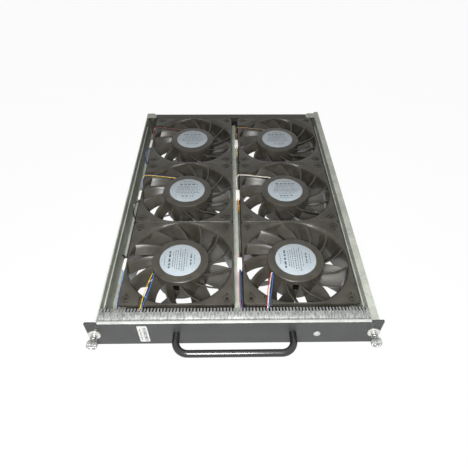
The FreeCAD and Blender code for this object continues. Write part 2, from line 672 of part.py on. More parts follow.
def rivet():
    body = make_body("rivet")
    grip = "(rear_thick + sheet_thick)"
    revolve(body, "Y_Axis", [
        ("0", "-rivet_cap"), ("rivet_head - rivet_cap", "-rivet_cap"), ("rivet_head", "0"),
        ("rivet_radius", "0"), ("rivet_radius", grip), ("rivet_head", grip),
        ("rivet_head - rivet_cap", f"{grip} + rivet_cap"), ("0", f"{grip} + rivet_cap"),
    ])
    return body


def mouth_outline(sketch):
    """A circle cut off by the four sides of the frame, for the flared mouth."""
    half, radius = num("duct_radius"), num("mouth_radius")
    turn = math.acos(half / radius)
    for quarter in range(4):
        start, end = quarter * math.pi / 2 + turn, (quarter + 1) * math.pi / 2 - turn
        ring = Part.Circle(Vector(), Vector(0, 0, 1), radius)
        sketch.addGeometry(Part.ArcOfCircle(ring, start, end))
        on_ring = [Vector(radius * math.cos(a), radius * math.sin(a), 0) for a in (end, end + 2 * turn)]
        sketch.addGeometry(Part.LineSegment(*on_ring))


def blade(body, stations):
    """A ruled blade through sections given as (radius, degrees, corners along the turn and the axis)."""
    sections = []
    for radius, angle, corners in stations:
        sketch = make_sketch(body, "YZ_Plane", "0", [outline(corners)])
        reach, way = num(radius), math.radians(num(angle))
        base = Vector(reach * math.sin(way), 0, reach * math.cos(way))
        sketch.setExpression("AttachmentOffset.Base.z", None)
        sketch.AttachmentOffset = FreeCAD.Placement(base, FreeCAD.Rotation(Vector(0, 1, 0), num(angle)))
        sections.append(sketch)
    feature = body.newObject("PartDesign::AdditiveLoft", "Blade")
    feature.Profile = sections[0]
    feature.Sections = sections[1:]
    feature.Ruled = True
    return feature


def fan_frame():
    """Square housing with the flared bore, the motor's hub and swept guide vanes in one moulding."""
    body = make_body("fan_frame")
    half = "(fan_side / 2)"
    square = rectangle(f"-{half}", half, f"-{half}", half)
    pad(body, "XY_Plane", "0", "fan_depth", [square])
    edge = num(half)
    corners = [(x, y) for x in (-edge, edge) for y in (-edge, edge)]
    soften(body, "fan_corner", lambda side: runs_along(side, Vector(0, 0, 1), corners))
    waist = [rectangle("-fan_side", "fan_side", "-fan_side", "fan_side"),
             circle("0", "0", "duct_radius + rim_wall")]
    pocket(body, "XY_Plane", "frame_flange", "fan_depth - 2 * frame_flange", waist, back=True)
    pocket(body, "XY_Plane", "0", "fan_depth", [circle("0", "0", "duct_radius")], back=True)
    flare = "atan((mouth_radius - duct_radius) / mouth_depth)"
    pocket(body, "XY_Plane", "fan_depth", "mouth_depth", [mouth_outline], taper=f"-{flare}")
    holes = [circle(f"{x} * hole_offset", f"{y} * hole_offset", "hole_radius")
             for x in (-1, 1) for y in (-1, 1)]
    pocket(body, "XY_Plane", "0", "fan_depth", holes, back=True)
    notch = rectangle("-notch_offset - notch_width / 2", "notch_width / 2 - notch_offset",
                      f"-{half} - slit", f"notch_run - {half}")
    pocket(body, "XY_Plane", "fan_depth", "notch_depth", [notch])
    bottom = "fan_depth - hub_height"
    pad(body, "XY_Plane", "fan_depth - hub_plate", "hub_plate", [circle("0", "0", "hub_radius")])
    skirt = [circle("0", "0", "hub_radius"), circle("0", "0", "hub_radius - hub_wall")]
    pad(body, "XY_Plane", bottom, "hub_height - hub_plate", skirt)
    tube = [circle("0", "0", "tube_radius"), circle("0", "0", "bearing_radius + running_play")]
    low = "(2 * rotor_floor + bearing_width)"
    pad(body, "XY_Plane", low, f"fan_depth - hub_plate - {low}", tube)
    inner, outer = "(hub_radius - vane_bury)", "(duct_radius + rim_wall / 3)"
    stations = []
    for share in (0, 0.5, 1):
        upper = f"fan_depth - vane_drop - {1 - share} * vane_dip"
        lower = f"{upper} - vane_height"
        section = [("0", upper), ("vane_thick", upper),
                   ("vane_thick + vane_lean", lower), ("vane_lean", lower)]
        stations.append((f"{inner} + {share} * ({outer} - {inner})",
                         f"vane_start + {share} * vane_sweep", section))
    vane = blade(body, stations)
    ring_pattern(body, vane, "vane_count")
    window = rectangle("window_x - window_width / 2", "window_x + window_width / 2",
                       f"{bottom} + hub_wall", f"{bottom} + hub_wall + window_height")
    pocket(body, "XZ_Plane", "hub_radius - 3 * hub_wall", "3 * hub_wall", [window], back=True)
    return body


def fan_rotor():
    """Cup with its magnet ring, and pitched blades that clear the bore."""
    body = make_body("fan_rotor")
    top = "rotor_floor + rotor_height"
    revolve(body, "Z_Axis", [
        ("shaft_radius", "rotor_floor"), ("rotor_radius - rotor_bevel", "rotor_floor"),
        ("rotor_radius", "rotor_floor + rotor_bevel"),
        ("rotor_radius", top), ("rotor_bore", top), ("rotor_bore", "2 * rotor_floor"),
        ("boss_radius", "2 * rotor_floor"), ("boss_radius", "3 * rotor_floor"),
        ("shaft_radius", "3 * rotor_floor"),
    ])
    low = "(rotor_floor + blade_lift)"
    high = f"({low} + blade_height)"

    def section(run):
        return [(f"{run} / 2", high), (f"{run} / 2 - blade_thick", high),
                (f"-{run} / 2 - blade_thick / 2", low), (f"blade_thick / 2 - {run} / 2", low)]

    wing = blade(body, [("rotor_radius - blade_bury", "0", section("blade_root")),
                        ("blade_radius + rim_wall", "-blade_sweep", section("blade_tip"))])
    ring_pattern(body, wing, "blade_count")
    trim = [circle("0", "0", "mouth_radius"), circle("0", "0", "blade_radius")]
    tips = pocket(body, "XY_Plane", "-rim_wall", "fan_depth", trim, back=True)
    tips.Refine = False
    return body


def fan_shaft():
    body = make_body("fan_shaft")
    top = "fan_depth - hub_plate - rotor_floor"
    pad(body, "XY_Plane", "rotor_floor", f"{top} - rotor_floor", [circle("0", "0", "shaft_radius")])
    return body


def fan_bearing():
    body = make_body("fan_bearing")
    rings = [circle("0", "0", "bearing_radius"), circle("0", "0", "shaft_radius + running_play")]
    pad(body, "XY_Plane", "0", "bearing_width", rings)
    return body


def fan_stator():
    """Four-pole wound core on the bearing tube."""
    body = make_body("fan_stator")
    middle = "(rotor_floor + rotor_height / 2 + core_lift)"
    bore = circle("0", "0", "tube_radius + running_play")
    core, coils = circle("0", "0", "core_radius"), circle("0", "0", "coil_radius")
    pad(body, "XY_Plane", f"{middle} - core_height / 2", "core_height", [core, bore])
    pad(body, "XY_Plane", f"{middle} - coil_height / 2", "coil_height", [coils, bore])
    slot = rectangle("tube_radius + yoke_wall", "core_radius + slit", "-slot_width / 2", "slot_width / 2")
    cut = pocket(body, "XY_Plane", f"{middle} - coil_height / 2", "coil_height", [slot], back=True)
    ring_pattern(body, cut, "4")
    return body


def motor_board():
    body = make_body("motor_board")
    ring = [circle("0", "0", "board_radius"), circle("0", "0", "tube_radius + slit / 4")]
    pad(body, "XY_Plane", "0", "board_thick", ring)
    return body


def fan_label():
    body = make_body("fan_label")
    pad(body, "XY_Plane", "0", "label_thick", [circle("0", "0", "label_radius")])
    return body


def lead_connector():
    """Plug and receptacle of a fan lead, latched together."""
    body = make_body("lead_connector")
    wide, tall, half = "plug_width / 2", "plug_height / 2", "plug_length / 2"
    pad(body, "XZ_Plane", "0", half, [rectangle(f"-{wide}", wide, f"-{tall}", tall)])
    plug = rectangle(f"plug_step - {wide}", f"{wide} - plug_step", f"-{tall}", f"{tall} - plug_step")
    pad(body, "XZ_Plane", "0", half, [plug], back=True)
    latch = rectangle("-latch_width / 2", "latch_width / 2", f"{tall} - plug_step", f"{tall} + plug_step")
    pad(body, "XZ_Plane", "latch_length / 2", "latch_length", [latch], back=True)
    return body


def route(points):
    """Straight runs joined by tangent arcs, each as large as its two runs allow."""
    spots = [Vector(*point) for point in points]
    edges = []
    start = spots[0]
    for before, corner, after in zip(spots, spots[1:], spots[2:]):
        inward, onward = before - corner, after - corner
        reach = BEND_SHARE * min(inward.Length, onward.Length)
        inward.normalize()
        onward.normalize()
        half = inward.getAngle(onward) / 2
        centre = reach / math.cos(half)
        bisector = inward + onward
        bisector.normalize()
        middle = corner + bisector * (centre - reach * math.tan(half))
        arrive, leave = corner + inward * reach, corner + onward * reach
        edges.append(Part.LineSegment(start, arrive).toShape())
        edges.append(Part.Arc(arrive, middle, leave).toShape())
        start = leave
    edges.append(Part.LineSegment(start, spots[-1]).toShape())
    bends = [edge.Curve.Radius for edge in edges[1::2]]
    print("bend radii " + ", ".join(f"{radius:.1f}" for radius in bends))
    return Part.Wire(edges)


def wire_run(points, radius):
    """A six-sided bundle of wires along a route."""
    path = route(points)
    start, way = Vector(*points[0]), Vector(*points[1]) - Vector(*points[0])
    way.normalize()
    side = way.cross(Vector(0, 0, 1) if abs(way.z) < 0.9 else Vector(1, 0, 0))
    side.normalize()
    ring = [start + FreeCAD.Rotation(way, 60 * i).multVec(side * radius) for i in range(6)]
    section = Part.makePolygon(ring + ring[:1])
    bundle = path.makePipeShell([section], True, False)
    expected = 1.5 * math.sqrt(3) * radius ** 2 * path.Length
    print(f"bundle {path.Length:.1f} mm long, volume {bundle.Volume / expected:.3f} of section times length")
    return bundle


def make_wires(label, runs):
    feature = doc.addObject("Part::Feature", label)
    feature.Label = label
    shapes = [wire_run(points, num(radius)) for points, radius in runs]
    feature.Shape = shapes[0] if len(shapes) == 1 else Part.makeCompound(shapes)
    return feature


def plug_end(side):
    """The middle of a connector's front (-1) or rear (1) face beside its fan's axis."""
    return num(PLUG_X), num("plug_shift") + side * num("plug_length") / 2, num(PLUG_Z)


def lead_over(turned):
    """A lead from the hub through the frame's notch to its connector; side leads serve turned fans."""
    hub, way = num("hub_radius + lead_radius"), math.radians(num("lead_angle"))
    notch, edge = num("notch_offset"), num("fan_side / 2")
    sill = num("fan_depth - notch_depth + lead_radius") + 0.1
    root = (hub * math.cos(way), hub * math.sin(way), sill)
    x, y, z = plug_end(1 if turned else -1)
    if turned:
        return [(root[1], -root[0], sill), (4 - edge, notch, sill), (-2.8 - edge, notch - 0.5, sill),
                (-3.6 - edge, notch - 4, sill - 5), (x - 0.6, notch - 10, z + 1.2), (x, y + 7, z), (x, y, z)]
    return [root, (-notch, 4 - edge, sill), (-notch - 0.5, -2.8 - edge, sill),
            (-notch - 3, -5.2 - edge, sill - 5), (-notch - 9, -6.2 - edge, z + 1.5),
            (4 - edge, -6.4 - edge, z + 0.3),
            (x - 0.7, 1 - edge, z), (x - 0.4, -24, z + 0.2), (x, y - 8, z), (x, y, z)]


def loom_branches(column, lane, low):
    """From each connector of a column, forward or back and down to the loom in its lane."""
    runs = []
    for x, row, side in FANS:
        if side != column:
            continue
        way = 1 if row == 0 else -1
        px, py, pz = plug_end(way)
        cx, cy = num(x), num(f"{FRONT} + {FAN_ROW.format(row=row)}")
        start = (cx + px, cy + py, num("sheet_thick") + pz)
        drop = 12 * way
        runs.append(([start, (start[0], start[1] + 2 * way, start[2]),
                      (lane + (start[0] - lane) / 5, start[1] + 7 * way, start[2]),
                      (lane, start[1] + drop, start[2] - 6),
                      (lane, start[1] + drop + 4 * way, (start[2] + low) / 2),
                      (lane, start[1] + drop + 2 * way, low)], "spur_radius"))
    return runs


def wires():
    front, socket_face = num(FRONT), num(f"{FRONT} + {REAR} - socket_in")
    floor, middle = num("sheet_thick"), num(MIDDLE)
    fat, thin = num("loom_radius"), num("spur_radius")
    left_lane = num(f"sheet_thick + rib_height - {HALF}") + 4
    left_low = floor + fat + 0.3
    side_face = num(f"{SOCKET_X} - socket_width / 2")
    first_axis = num(f"{FRONT} + {FAN_ROW.format(row=0)}")
    trunk_end = first_axis - num("centre_start")
    rise, turn = num("loom_rise"), num("loom_turn")
    cross_y = socket_face + num("socket_in") / 2
    left = [(left_lane, first_axis + num("left_start"), left_low), (left_lane, cross_y - turn, left_low),
            (left_lane + 4, cross_y - 3, left_low), (left_lane + turn + 1, cross_y, left_low),
            (side_face - rise, cross_y, left_low), (side_face - rise / 2 - 2, cross_y, middle - 3),
            (side_face - rise / 4 - 2, cross_y, middle), (side_face - 0.1, cross_y, middle)]
    branches = loom_branches("left", left_lane, left_low + fat + thin + 0.1)
    keep(make_wires("left_loom", [(left, "loom_radius")] + branches))
    lane = num(f"{RAIL_X} + sheet_thick + (rail_width - sheet_thick) / 2")
    centre = [(lane, trunk_end, middle), (lane, socket_face, middle)]
    outer = num(f"{RAIL_X} + rail_width") + thin + 0.4
    low = middle - fat
    twigs = loom_branches("right", outer, low)
    keep(make_wires("centre_loom", [(centre, "loom_radius")] + twigs))
    lamp_x, lamp_z = num("lamp_x"), num("lamp_z")
    lamp_y = front + num("lamp_length")
    cable = [(lamp_x, lamp_y, lamp_z), (lamp_x, lamp_y + 4, lamp_z), (lamp_x - 12, lamp_y + 6.5, lamp_z),
             (lane + 24, lamp_y + 6.5, lamp_z), (lane + 2, lamp_y + 9, lamp_z + 1),
             (lane, lamp_y + 18, middle), (lane, trunk_end - thin / 2, middle)]
    keep(make_wires("led_cable", [(cable, "spur_radius")]))


def fans():
    frame, rotor, shaft, stator = fan_frame(), fan_rotor(), fan_shaft(), fan_stator()
    plugs, labels, boards, bearings = [], [], [], []
    lower = "(2 * rotor_floor + bearing_width + sheet_thick)"
    upper = "(sheet_thick + fan_depth - hub_plate - rotor_floor - bearing_width)"
    board_z = "(sheet_thick + rotor_floor + rotor_height + 4 * slit)"
    for number, (x, row, column) in enumerate(FANS, 1):
        y = FAN_ROW.format(row=row)
        turned = row > 0
        turn = -90 if turned else 0
        for master, name in ((frame, "frame"), (rotor, "rotor"), (shaft, "shaft"), (stator, "stator")):
            keep(place(copy_of(master, f"fan_{number}_{name}"), x, y, "sheet_thick", turn))
        lead = make_wires(f"fan_{number}_lead", [(lead_over(turned), "lead_radius")])
        keep(place(lead, x, y, "sheet_thick"))
        plugs.append((f"{x} + {PLUG_X}", f"{y} + plug_shift", f"sheet_thick + {PLUG_Z}", 0))
        labels.append((x, y, "sheet_thick + fan_depth", 0))
        boards.append((x, y, board_z, 0))
        bearings += [(x, y, lower, 0), (x, y, upper, 0)]
    keep(group_of(lead_connector(), "lead_connectors", plugs))
    keep(group_of(fan_label(), "fan_labels", labels))
    keep(group_of(motor_board(), "motor_boards", boards))
    keep(group_of(fan_bearing(), "fan_bearings", bearings))


def captive_screws():
    screw, ring, spring = thumbscrew(), snap_ring(), screw_spring()
    for name, side in (("left", "-1"), ("right", "1")):
        x = f"{side} * {SCREW_X}"
        keep(place(copy_of(screw, f"{name}_thumbscrew"), x, "0", MIDDLE))
        keep(place(copy_of(ring, f"{name}_snap_ring"), x, RING_Y, MIDDLE))
        keep(place(copy_of(spring, f"{name}_spring"), x, "0", MIDDLE))
    spots = [(f"{side} * {SCREW_X}", "0", MIDDLE, 0) for side in (-1, 1)]
    keep(group_of(screw_ferrule(), "screw_ferrules", spots))


def fasteners():
    stems = [(f"{side} * handle_span / 2", "panel_thick + sheet_thick", MIDDLE, 0) for side in (-1, 1)]
    keep(group_of(handle_screw(), "handle_screws", stems))
    keep(group_of(fan_screw(), "fan_screws", [(x, y, "0", 0) for x, y in fixing_spots()]))
    keep(group_of(rivet(), "rivets", [(x, REAR, z, 0) for x, z in rivet_spots()]))


def check_and_write():
    doc.recompute()
    for item in doc.Objects:
        if {"Invalid", "Error"} & set(item.State):
            raise RuntimeError(f"{item.Label} failed: {item.State}")
    for item in pieces:
        if item.Shape.isNull() or not item.Shape.isValid() or not item.Shape.Solids:
            raise RuntimeError(f"{item.Label} has no valid solid")
    os.makedirs("parts", exist_ok=True)
    for item in pieces:
        item.Shape.exportStep(f"parts/{item.Label}.step")
        print(f"{item.Label}: {len(item.Shape.Solids)} solid(s), {item.Shape.Volume:.0f} mm3")


for build in (tray_pan, front_panel, gasket_carrier, emi_gasket, rear_panel, rear_connector,
              centre_rail, handle, led_lens, panel_sticker):
    keep(build())
doc.recompute()
fans()
captive_screws()
fasteners()
doc.recompute()
wires()
check_and_write()
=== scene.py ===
import math
import random

import bmesh
import bpy
from mathutils import Matrix, Vector


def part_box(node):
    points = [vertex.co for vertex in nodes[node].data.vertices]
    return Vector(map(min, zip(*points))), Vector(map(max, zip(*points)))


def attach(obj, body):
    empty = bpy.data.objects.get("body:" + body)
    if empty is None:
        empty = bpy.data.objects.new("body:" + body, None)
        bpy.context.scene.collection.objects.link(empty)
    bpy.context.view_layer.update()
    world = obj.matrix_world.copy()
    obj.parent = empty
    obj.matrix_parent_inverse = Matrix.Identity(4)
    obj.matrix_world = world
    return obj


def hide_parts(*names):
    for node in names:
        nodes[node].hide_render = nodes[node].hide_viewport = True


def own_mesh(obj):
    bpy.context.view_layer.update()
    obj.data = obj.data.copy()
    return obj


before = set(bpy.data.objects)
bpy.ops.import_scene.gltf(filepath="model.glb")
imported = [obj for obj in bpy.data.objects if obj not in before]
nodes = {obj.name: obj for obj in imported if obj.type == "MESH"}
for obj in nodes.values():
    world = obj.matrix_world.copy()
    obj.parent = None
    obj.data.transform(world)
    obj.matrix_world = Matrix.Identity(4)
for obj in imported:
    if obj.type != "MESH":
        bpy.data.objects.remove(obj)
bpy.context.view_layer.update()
mm = 0.001
print("frame loaded:", len(nodes), "nodes")


# Colours are written as sRGB hex and turned to linear here
def toLinear(hexColour):
    parts = [int(hexColour[i:i + 2], 16) / 255 for i in (1, 3, 5)]
    linear = [c / 12.92 if c <= 0.04045 else ((c + 0.055) / 1.055) ** 2.4 for c in parts]
    return (*linear, 1.0)


def addNode(tree, kind, settings=None, links=None):
    node = tree.nodes.new(kind)
    for key, value in (settings or {}).items():
        if isinstance(key, str) and hasattr(node, key):
            setattr(node, key, value)
        else:
            node.inputs[key].default_value = value
    for key, socket in (links or {}).items():
        tree.links.new(socket, node.inputs[key])
    return node


def newMaterial(name, sockets):
    material = bpy.data.materials.new(name)
    material.use_nodes = True
    tree = material.node_tree
    shader = tree.nodes["Principled BSDF"]
    for key, value in sockets.items():
        shader.inputs[key].default_value = value
    coords = addNode(tree, "ShaderNodeTexCoord")
    return material, tree, shader, coords.outputs["Object"]


# Two tones of one colour mixed by a pattern, with that pattern's own contrast
def blendTones(tree, shader, pattern, darkHex, lightHex, low=0.3, high=0.7):
    spread = addNode(tree, "ShaderNodeMapRange", {"From Min": low, "From Max": high}, {"Value": pattern})
    tones = addNode(tree, "ShaderNodeMix", {"data_type": "RGBA", 6: toLinear(darkHex), 7: toLinear(lightHex)},
                    {0: spread.outputs["Result"]})
    tree.links.new(tones.outputs[2], shader.inputs["Base Color"])


def addBump(tree, shader, height, strength, depth):
    bump = addNode(tree, "ShaderNodeBump", {"Strength": strength, "Distance": depth}, {"Height": height})
    tree.links.new(bump.outputs["Normal"], shader.inputs["Normal"])


def addRoughness(tree, shader, pattern, smooth, rough):
    spread = addNode(tree, "ShaderNodeMapRange", {"To Min": smooth, "To Max": rough}, {"Value": pattern})
    tree.links.new(spread.outputs["Result"], shader.inputs["Roughness"])


# A pattern's scale from the real size of one feature
def perFeature(millimetres):
    return 1 / (millimetres * mm)


galvanised = dict(dark="#93968D", light="#BCC0B5", spangle=3.2, spangleShare=0.16, cloud=35.0, grain=0.6,
                  smooth=0.38, rough=0.55)


# Zinc-coated sheet: large dull crystals, greenish grey, soft blurred reflections
def galvanisedSheet():
    material, tree, shader, coords = newMaterial("galvanised_sheet", {"Metallic": 0.15, "Specular IOR Level": 0.3})
    crystals = addNode(tree, "ShaderNodeTexVoronoi", {"Scale": perFeature(galvanised["spangle"])},
                       {"Vector": coords})
    clouds = addNode(tree, "ShaderNodeTexNoise", {"Scale": perFeature(galvanised["cloud"]), "Detail": 4.0},
                     {"Vector": coords})
    tint = addNode(tree, "ShaderNodeSeparateColor", {}, {"Color": crystals.outputs["Color"]})
    mixed = addNode(tree, "ShaderNodeMath", {"operation": "MULTIPLY_ADD", 1: galvanised["spangleShare"]},
                    {0: tint.outputs["Red"], 2: clouds.outputs["Fac"]})
    blendTones(tree, shader, mixed.outputs[0], galvanised["dark"], galvanised["light"], 0.3, 0.85)
    addRoughness(tree, shader, tint.outputs["Green"], galvanised["smooth"], galvanised["rough"])
    grain = addNode(tree, "ShaderNodeTexNoise", {"Scale": perFeature(galvanised["grain"])}, {"Vector": coords})
    addBump(tree, shader, grain.outputs["Fac"], 0.15, 0.05 * mm)
    return material


panelPaint = dict(dark="#2F3030", light="#3B3C3C", smudge=28.0, peel=0.9, smooth=0.38, rough=0.55)


# Baked satin enamel on steel: mid grey, faint orange peel, handling smudges
def satinEnamel():
    material, tree, shader, coords = newMaterial("satin_enamel", {"IOR": 1.5})
    smudge = addNode(tree, "ShaderNodeTexNoise", {"Scale": perFeature(panelPaint["smudge"]), "Detail": 5.0,
                                                  "Roughness": 0.6}, {"Vector": coords})
    blendTones(tree, shader, smudge.outputs["Fac"], panelPaint["dark"], panelPaint["light"], 0.3, 0.72)
    addRoughness(tree, shader, smudge.outputs["Fac"], panelPaint["smooth"], panelPaint["rough"])
    peel = addNode(tree, "ShaderNodeTexNoise", {"Scale": perFeature(panelPaint["peel"])}, {"Vector": coords})
    addBump(tree, shader, peel.outputs["Fac"], 0.2, 0.04 * mm)
    return material


# One recipe for the moulded and painted blacks, which differ in tone, gloss and grain
def blackFinish(name, dark, light, smooth, rough, grain, ior=1.5, sheen=0.5, mottle=18.0):
    material, tree, shader, coords = newMaterial(name, {"IOR": ior, "Specular IOR Level": sheen})
    cloud = addNode(tree, "ShaderNodeTexNoise", {"Scale": perFeature(mottle), "Detail": 4.0}, {"Vector": coords})
    blendTones(tree, shader, cloud.outputs["Fac"], dark, light, 0.3, 0.7)
    addRoughness(tree, shader, cloud.outputs["Fac"], smooth, rough)
    fine = addNode(tree, "ShaderNodeTexNoise", {"Scale": perFeature(grain), "Detail": 3.0}, {"Vector": coords})
    addBump(tree, shader, fine.outputs["Fac"], 0.2, 0.03 * mm)
    return material


# One recipe for plated and bare metal parts, which differ in tone, polish and tool marks
def platedMetal(name, dark, light, smooth, rough, marks, stretch=(1, 1, 1), metallic=1.0):
    material, tree, shader, coords = newMaterial(name, {"Metallic": metallic})
    mapped = addNode(tree, "ShaderNodeMapping", {"Scale": stretch}, {"Vector": coords})
    lines = addNode(tree, "ShaderNodeTexNoise", {"Scale": perFeature(marks), "Detail": 3.0},
                    {"Vector": mapped.outputs["Vector"]})
    blendTones(tree, shader, lines.outputs["Fac"], dark, light, 0.3, 0.7)
    addRoughness(tree, shader, lines.outputs["Fac"], smooth, rough)
    addBump(tree, shader, lines.outputs["Fac"], 0.1, 0.02 * mm)
    return material


# Extruded wire covering: one clear colour, slightly waxy
def wireCover(name, colour, streak=2.5, darker=0.82):
    material, tree, shader, coords = newMaterial(name, {"IOR": 1.53, "Coat Weight": 0.15})
    wax = addNode(tree, "ShaderNodeTexNoise", {"Scale": perFeature(streak), "Detail": 2.0}, {"Vector": coords})
    shade = "#" + "".join(f"{int(int(colour[i:i + 2], 16) * darker):02X}" for i in (1, 3, 5))
    blendTones(tree, shader, wax.outputs["Fac"], shade, colour, 0.3, 0.6)
    addRoughness(tree, shader, wax.outputs["Fac"], 0.3, 0.45)
    return material


# Pale film and nylon: slight cloudiness, soft gloss
def paleFinish(name, dark, light, smooth, rough, cloud):
    material, tree, shader, coords = newMaterial(name, {"IOR": 1.5})
    haze = addNode(tree, "ShaderNodeTexNoise", {"Scale": perFeature(cloud), "Detail": 3.0}, {"Vector": coords})
    blendTones(tree, shader, haze.outputs["Fac"], dark, light, 0.3, 0.7)
    addRoughness(tree, shader, haze.outputs["Fac"], smooth, rough)
    return material


finishes = {
    # Dull crystals, soft reflections
    "galvanised": galvanisedSheet(),
    # Even grey, faint peel and smudges
    "panel": satinEnamel(),
    # Moulded, brown in the light, soft gloss on edges
    "fanPlastic": blackFinish("glass_filled_plastic", "#34312B", "#47443D", 0.28, 0.38, 0.5, sheen=0.3),
    # Moulded, flatter than the frame; its slightly paler tone is painted sheen of the lit blades
    "rotorPlastic": blackFinish("rotor_plastic_painted_sheen", "#3A3831", "#484640", 0.38, 0.48, 0.8,
                                ior=1.6, sheen=0.18),
    # Dipped and baked, long bright streaks; its peel is drawn coarse, so that they stay whole
    "handle": blackFinish("black_enamel", "#121212", "#1B1B1B", 0.22, 0.27, 9.0, ior=1.6),
    # Sprayed powder, flat and dry
    "rearPaint": blackFinish("black_powder_coat", "#35332D", "#413F38", 0.5, 0.62, 0.6, sheen=0.3),
    # Moulded, flat black
    "moulding": blackFinish("black_connector_moulding", "#171717", "#222222", 0.4, 0.55, 0.4),
    # Plated and bright, pale grey
    "nickel": platedMetal("nickel_plate", "#C2C1BC", "#DEDDD9", 0.2, 0.34, 1.2, metallic=0.55),
    # Plated over knurling, darker in the teeth
    "dullNickel": platedMetal("dull_nickel_plate", "#A9ABA8", "#C6C8C5", 0.28, 0.42, 0.8),
    # Rolled and tinned, streaked along its length
    "springStrip": platedMetal("tinned_spring_strip", "#626462", "#A0A2A0", 0.3, 0.46, 1.5,
                               stretch=(1, 0.3, 1), metallic=0.5),
    # Plated, grey with fine marks
    "zinc": platedMetal("zinc_plated_steel", "#A5A69F", "#C6C7C0", 0.28, 0.42, 0.8),
    # Plated sheet, nearly white under the lamp
    "brightZinc": paleFinish("bright_zinc_sheet", "#A9ACA7", "#BDBFBB", 0.3, 0.42, 14.0),
    # Pressed and sintered, dead black; the same near-black on the rotor's top rim is painted shade behind the hub
    # window
    "ferrite": blackFinish("magnet_and_rim_shade", "#0A0909", "#100F0E", 0.6, 0.75, 0.6, sheen=0.05),
    # Plated sheet gone dull
    "railZinc": paleFinish("dull_zinc_sheet", "#969B90", "#ACB1A5", 0.4, 0.55, 12.0),
    # Ground round, fine lines about the axis
    "ground": platedMetal("ground_steel", "#9A9A98", "#BFBFBD", 0.2, 0.3, 0.6, (1, 1, 0.2)),
    # Varnished winding, red brown
    "copper": platedMetal("enamelled_copper", "#8A4A22", "#B9692F", 0.25, 0.4, 0.5, (1, 1, 0.2)),
    # Moulded, milky white
    "nylon": paleFinish("natural_nylon", "#F0EEE6", "#FBFAF5", 0.35, 0.5, 3.0),
    # Satin film, cool white
    "film": paleFinish("polyester_label_film", "#9CA6AC", "#A8B1B7", 0.3, 0.42, 9.0),
    # Vinyl, neutral white
    "sticker": paleFinish("vinyl_sticker", "#B2B2B0", "#BCBCBA", 0.35, 0.45, 6.0),
    # Thin grey ink
    "print": paleFinish("grey_print", "#3A4148", "#4B535B", 0.45, 0.55, 1.0),
    # Thin black ink
    "ink": paleFinish("black_print", "#3E4144", "#4B4E51", 0.45, 0.55, 1.0),
    # Moulded clear plastic, frosted
    "lens": paleFinish("frosted_lens", "#8C8E8C", "#A6A8A6", 0.16, 0.26, 2.0),
    # Lacquered board; its near-black tone is painted shade, seen through the hub's window
    "board": blackFinish("board_painted_shade", "#070A08", "#0B0E0C", 0.5, 0.6, 2.0, sheen=0.1),
    # Extruded cover, one clear colour each
    "yellow": wireCover("yellow_wire_cover", "#E3BC2A"),
    "red": wireCover("red_wire_cover", "#C23A2E"),
    "blue": wireCover("blue_wire_cover", "#3D6FC0"),
    "black": wireCover("black_wire_cover", "#1C1C1C"),
    "orange": wireCover("orange_wire_cover", "#DD7A2C"),
    "white": wireCover("white_wire_cover", "#E9E7DF"),
    "green": wireCover("green_wire_cover", "#3F7F4E"),
    "paleBlue": wireCover("pale_blue_wire_cover", "#6A9DD4"),
}
print("finishes made:", len(finishes))


# Mesh code shared by the pieces; it works in millimetres and stores metres
def meshFrom(name, bm, smoothAngle=35):
    bmesh.ops.remove_doubles(bm, verts=bm.verts, dist=0.004)
    bmesh.ops.recalc_face_normals(bm, faces=bm.faces)
    bmesh.ops.scale(bm, vec=(mm, mm, mm), verts=bm.verts)
    mesh = bpy.data.meshes.new(name)
    bm.to_mesh(mesh)
    bm.free()
    mesh.shade_smooth()
    mesh.set_sharp_from_angle(angle=math.radians(smoothAngle))
    return mesh


# Joins rings of equal length with quads; the last ring meets the first when looped
def loftRings(bm, rings, looped=False, capped=False, around=True):
    made = [[bm.verts.new(p) for p in ring] for ring in rings]
    count = len(made[0])
    pairs = list(zip(made, made[1:])) + ([(made[-1], made[0])] if looped else [])
    for lower, upper in pairs:
        for i in range(count if around else count - 1):
            j = (i + 1) % count
            bm.faces.new((lower[i], lower[j], upper[j], upper[i]))
    if capped:
        bm.faces.new(list(reversed(made[0])))
        bm.faces.new(made[-1])


# A turned form about Z, or about Y when the axis says so
def turnProfile(bm, profile, steps=64, axis="Z", at=(0, 0, 0), looped=False):
    rings = []
    for radius, along in profile:
        ring = []
        for i in range(steps):
            a = 2 * math.pi * i / steps
            u, v = max(radius, 0.001) * math.cos(a), max(radius, 0.001) * math.sin(a)
            ring.append((at[0] + u, at[1] + v, at[2] + along) if axis == "Z"
                        else (at[0] + v, at[1] + along, at[2] + u))
        rings.append(ring)
    loftRings(bm, rings, looped=looped)


# A box with its own low and high corners
def addBlock(bm, low, high):
    made = bmesh.ops.create_cube(bm, size=1)["verts"]
    size = [b - a for a, b in zip(low, high)]
    middle = [(a + b) / 2 for a, b in zip(low, high)]
    bmesh.ops.scale(bm, vec=size, verts=made)
    bmesh.ops.translate(bm, vec=middle, verts=made)
    return made


def addPiece(name, data, finish, body, stands=(), place=None):
    piece = bpy.data.objects.new(name, data)
    bpy.context.scene.collection.objects.link(piece)
    for one in (finish if isinstance(finish, (list, tuple)) else [finish]):
        if finishes[one].name not in data.materials:
            data.materials.append(finishes[one])
    if place is not None:
        piece.matrix_world = place
    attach(piece, body)
    if stands:
        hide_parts(*stands)
    return piece


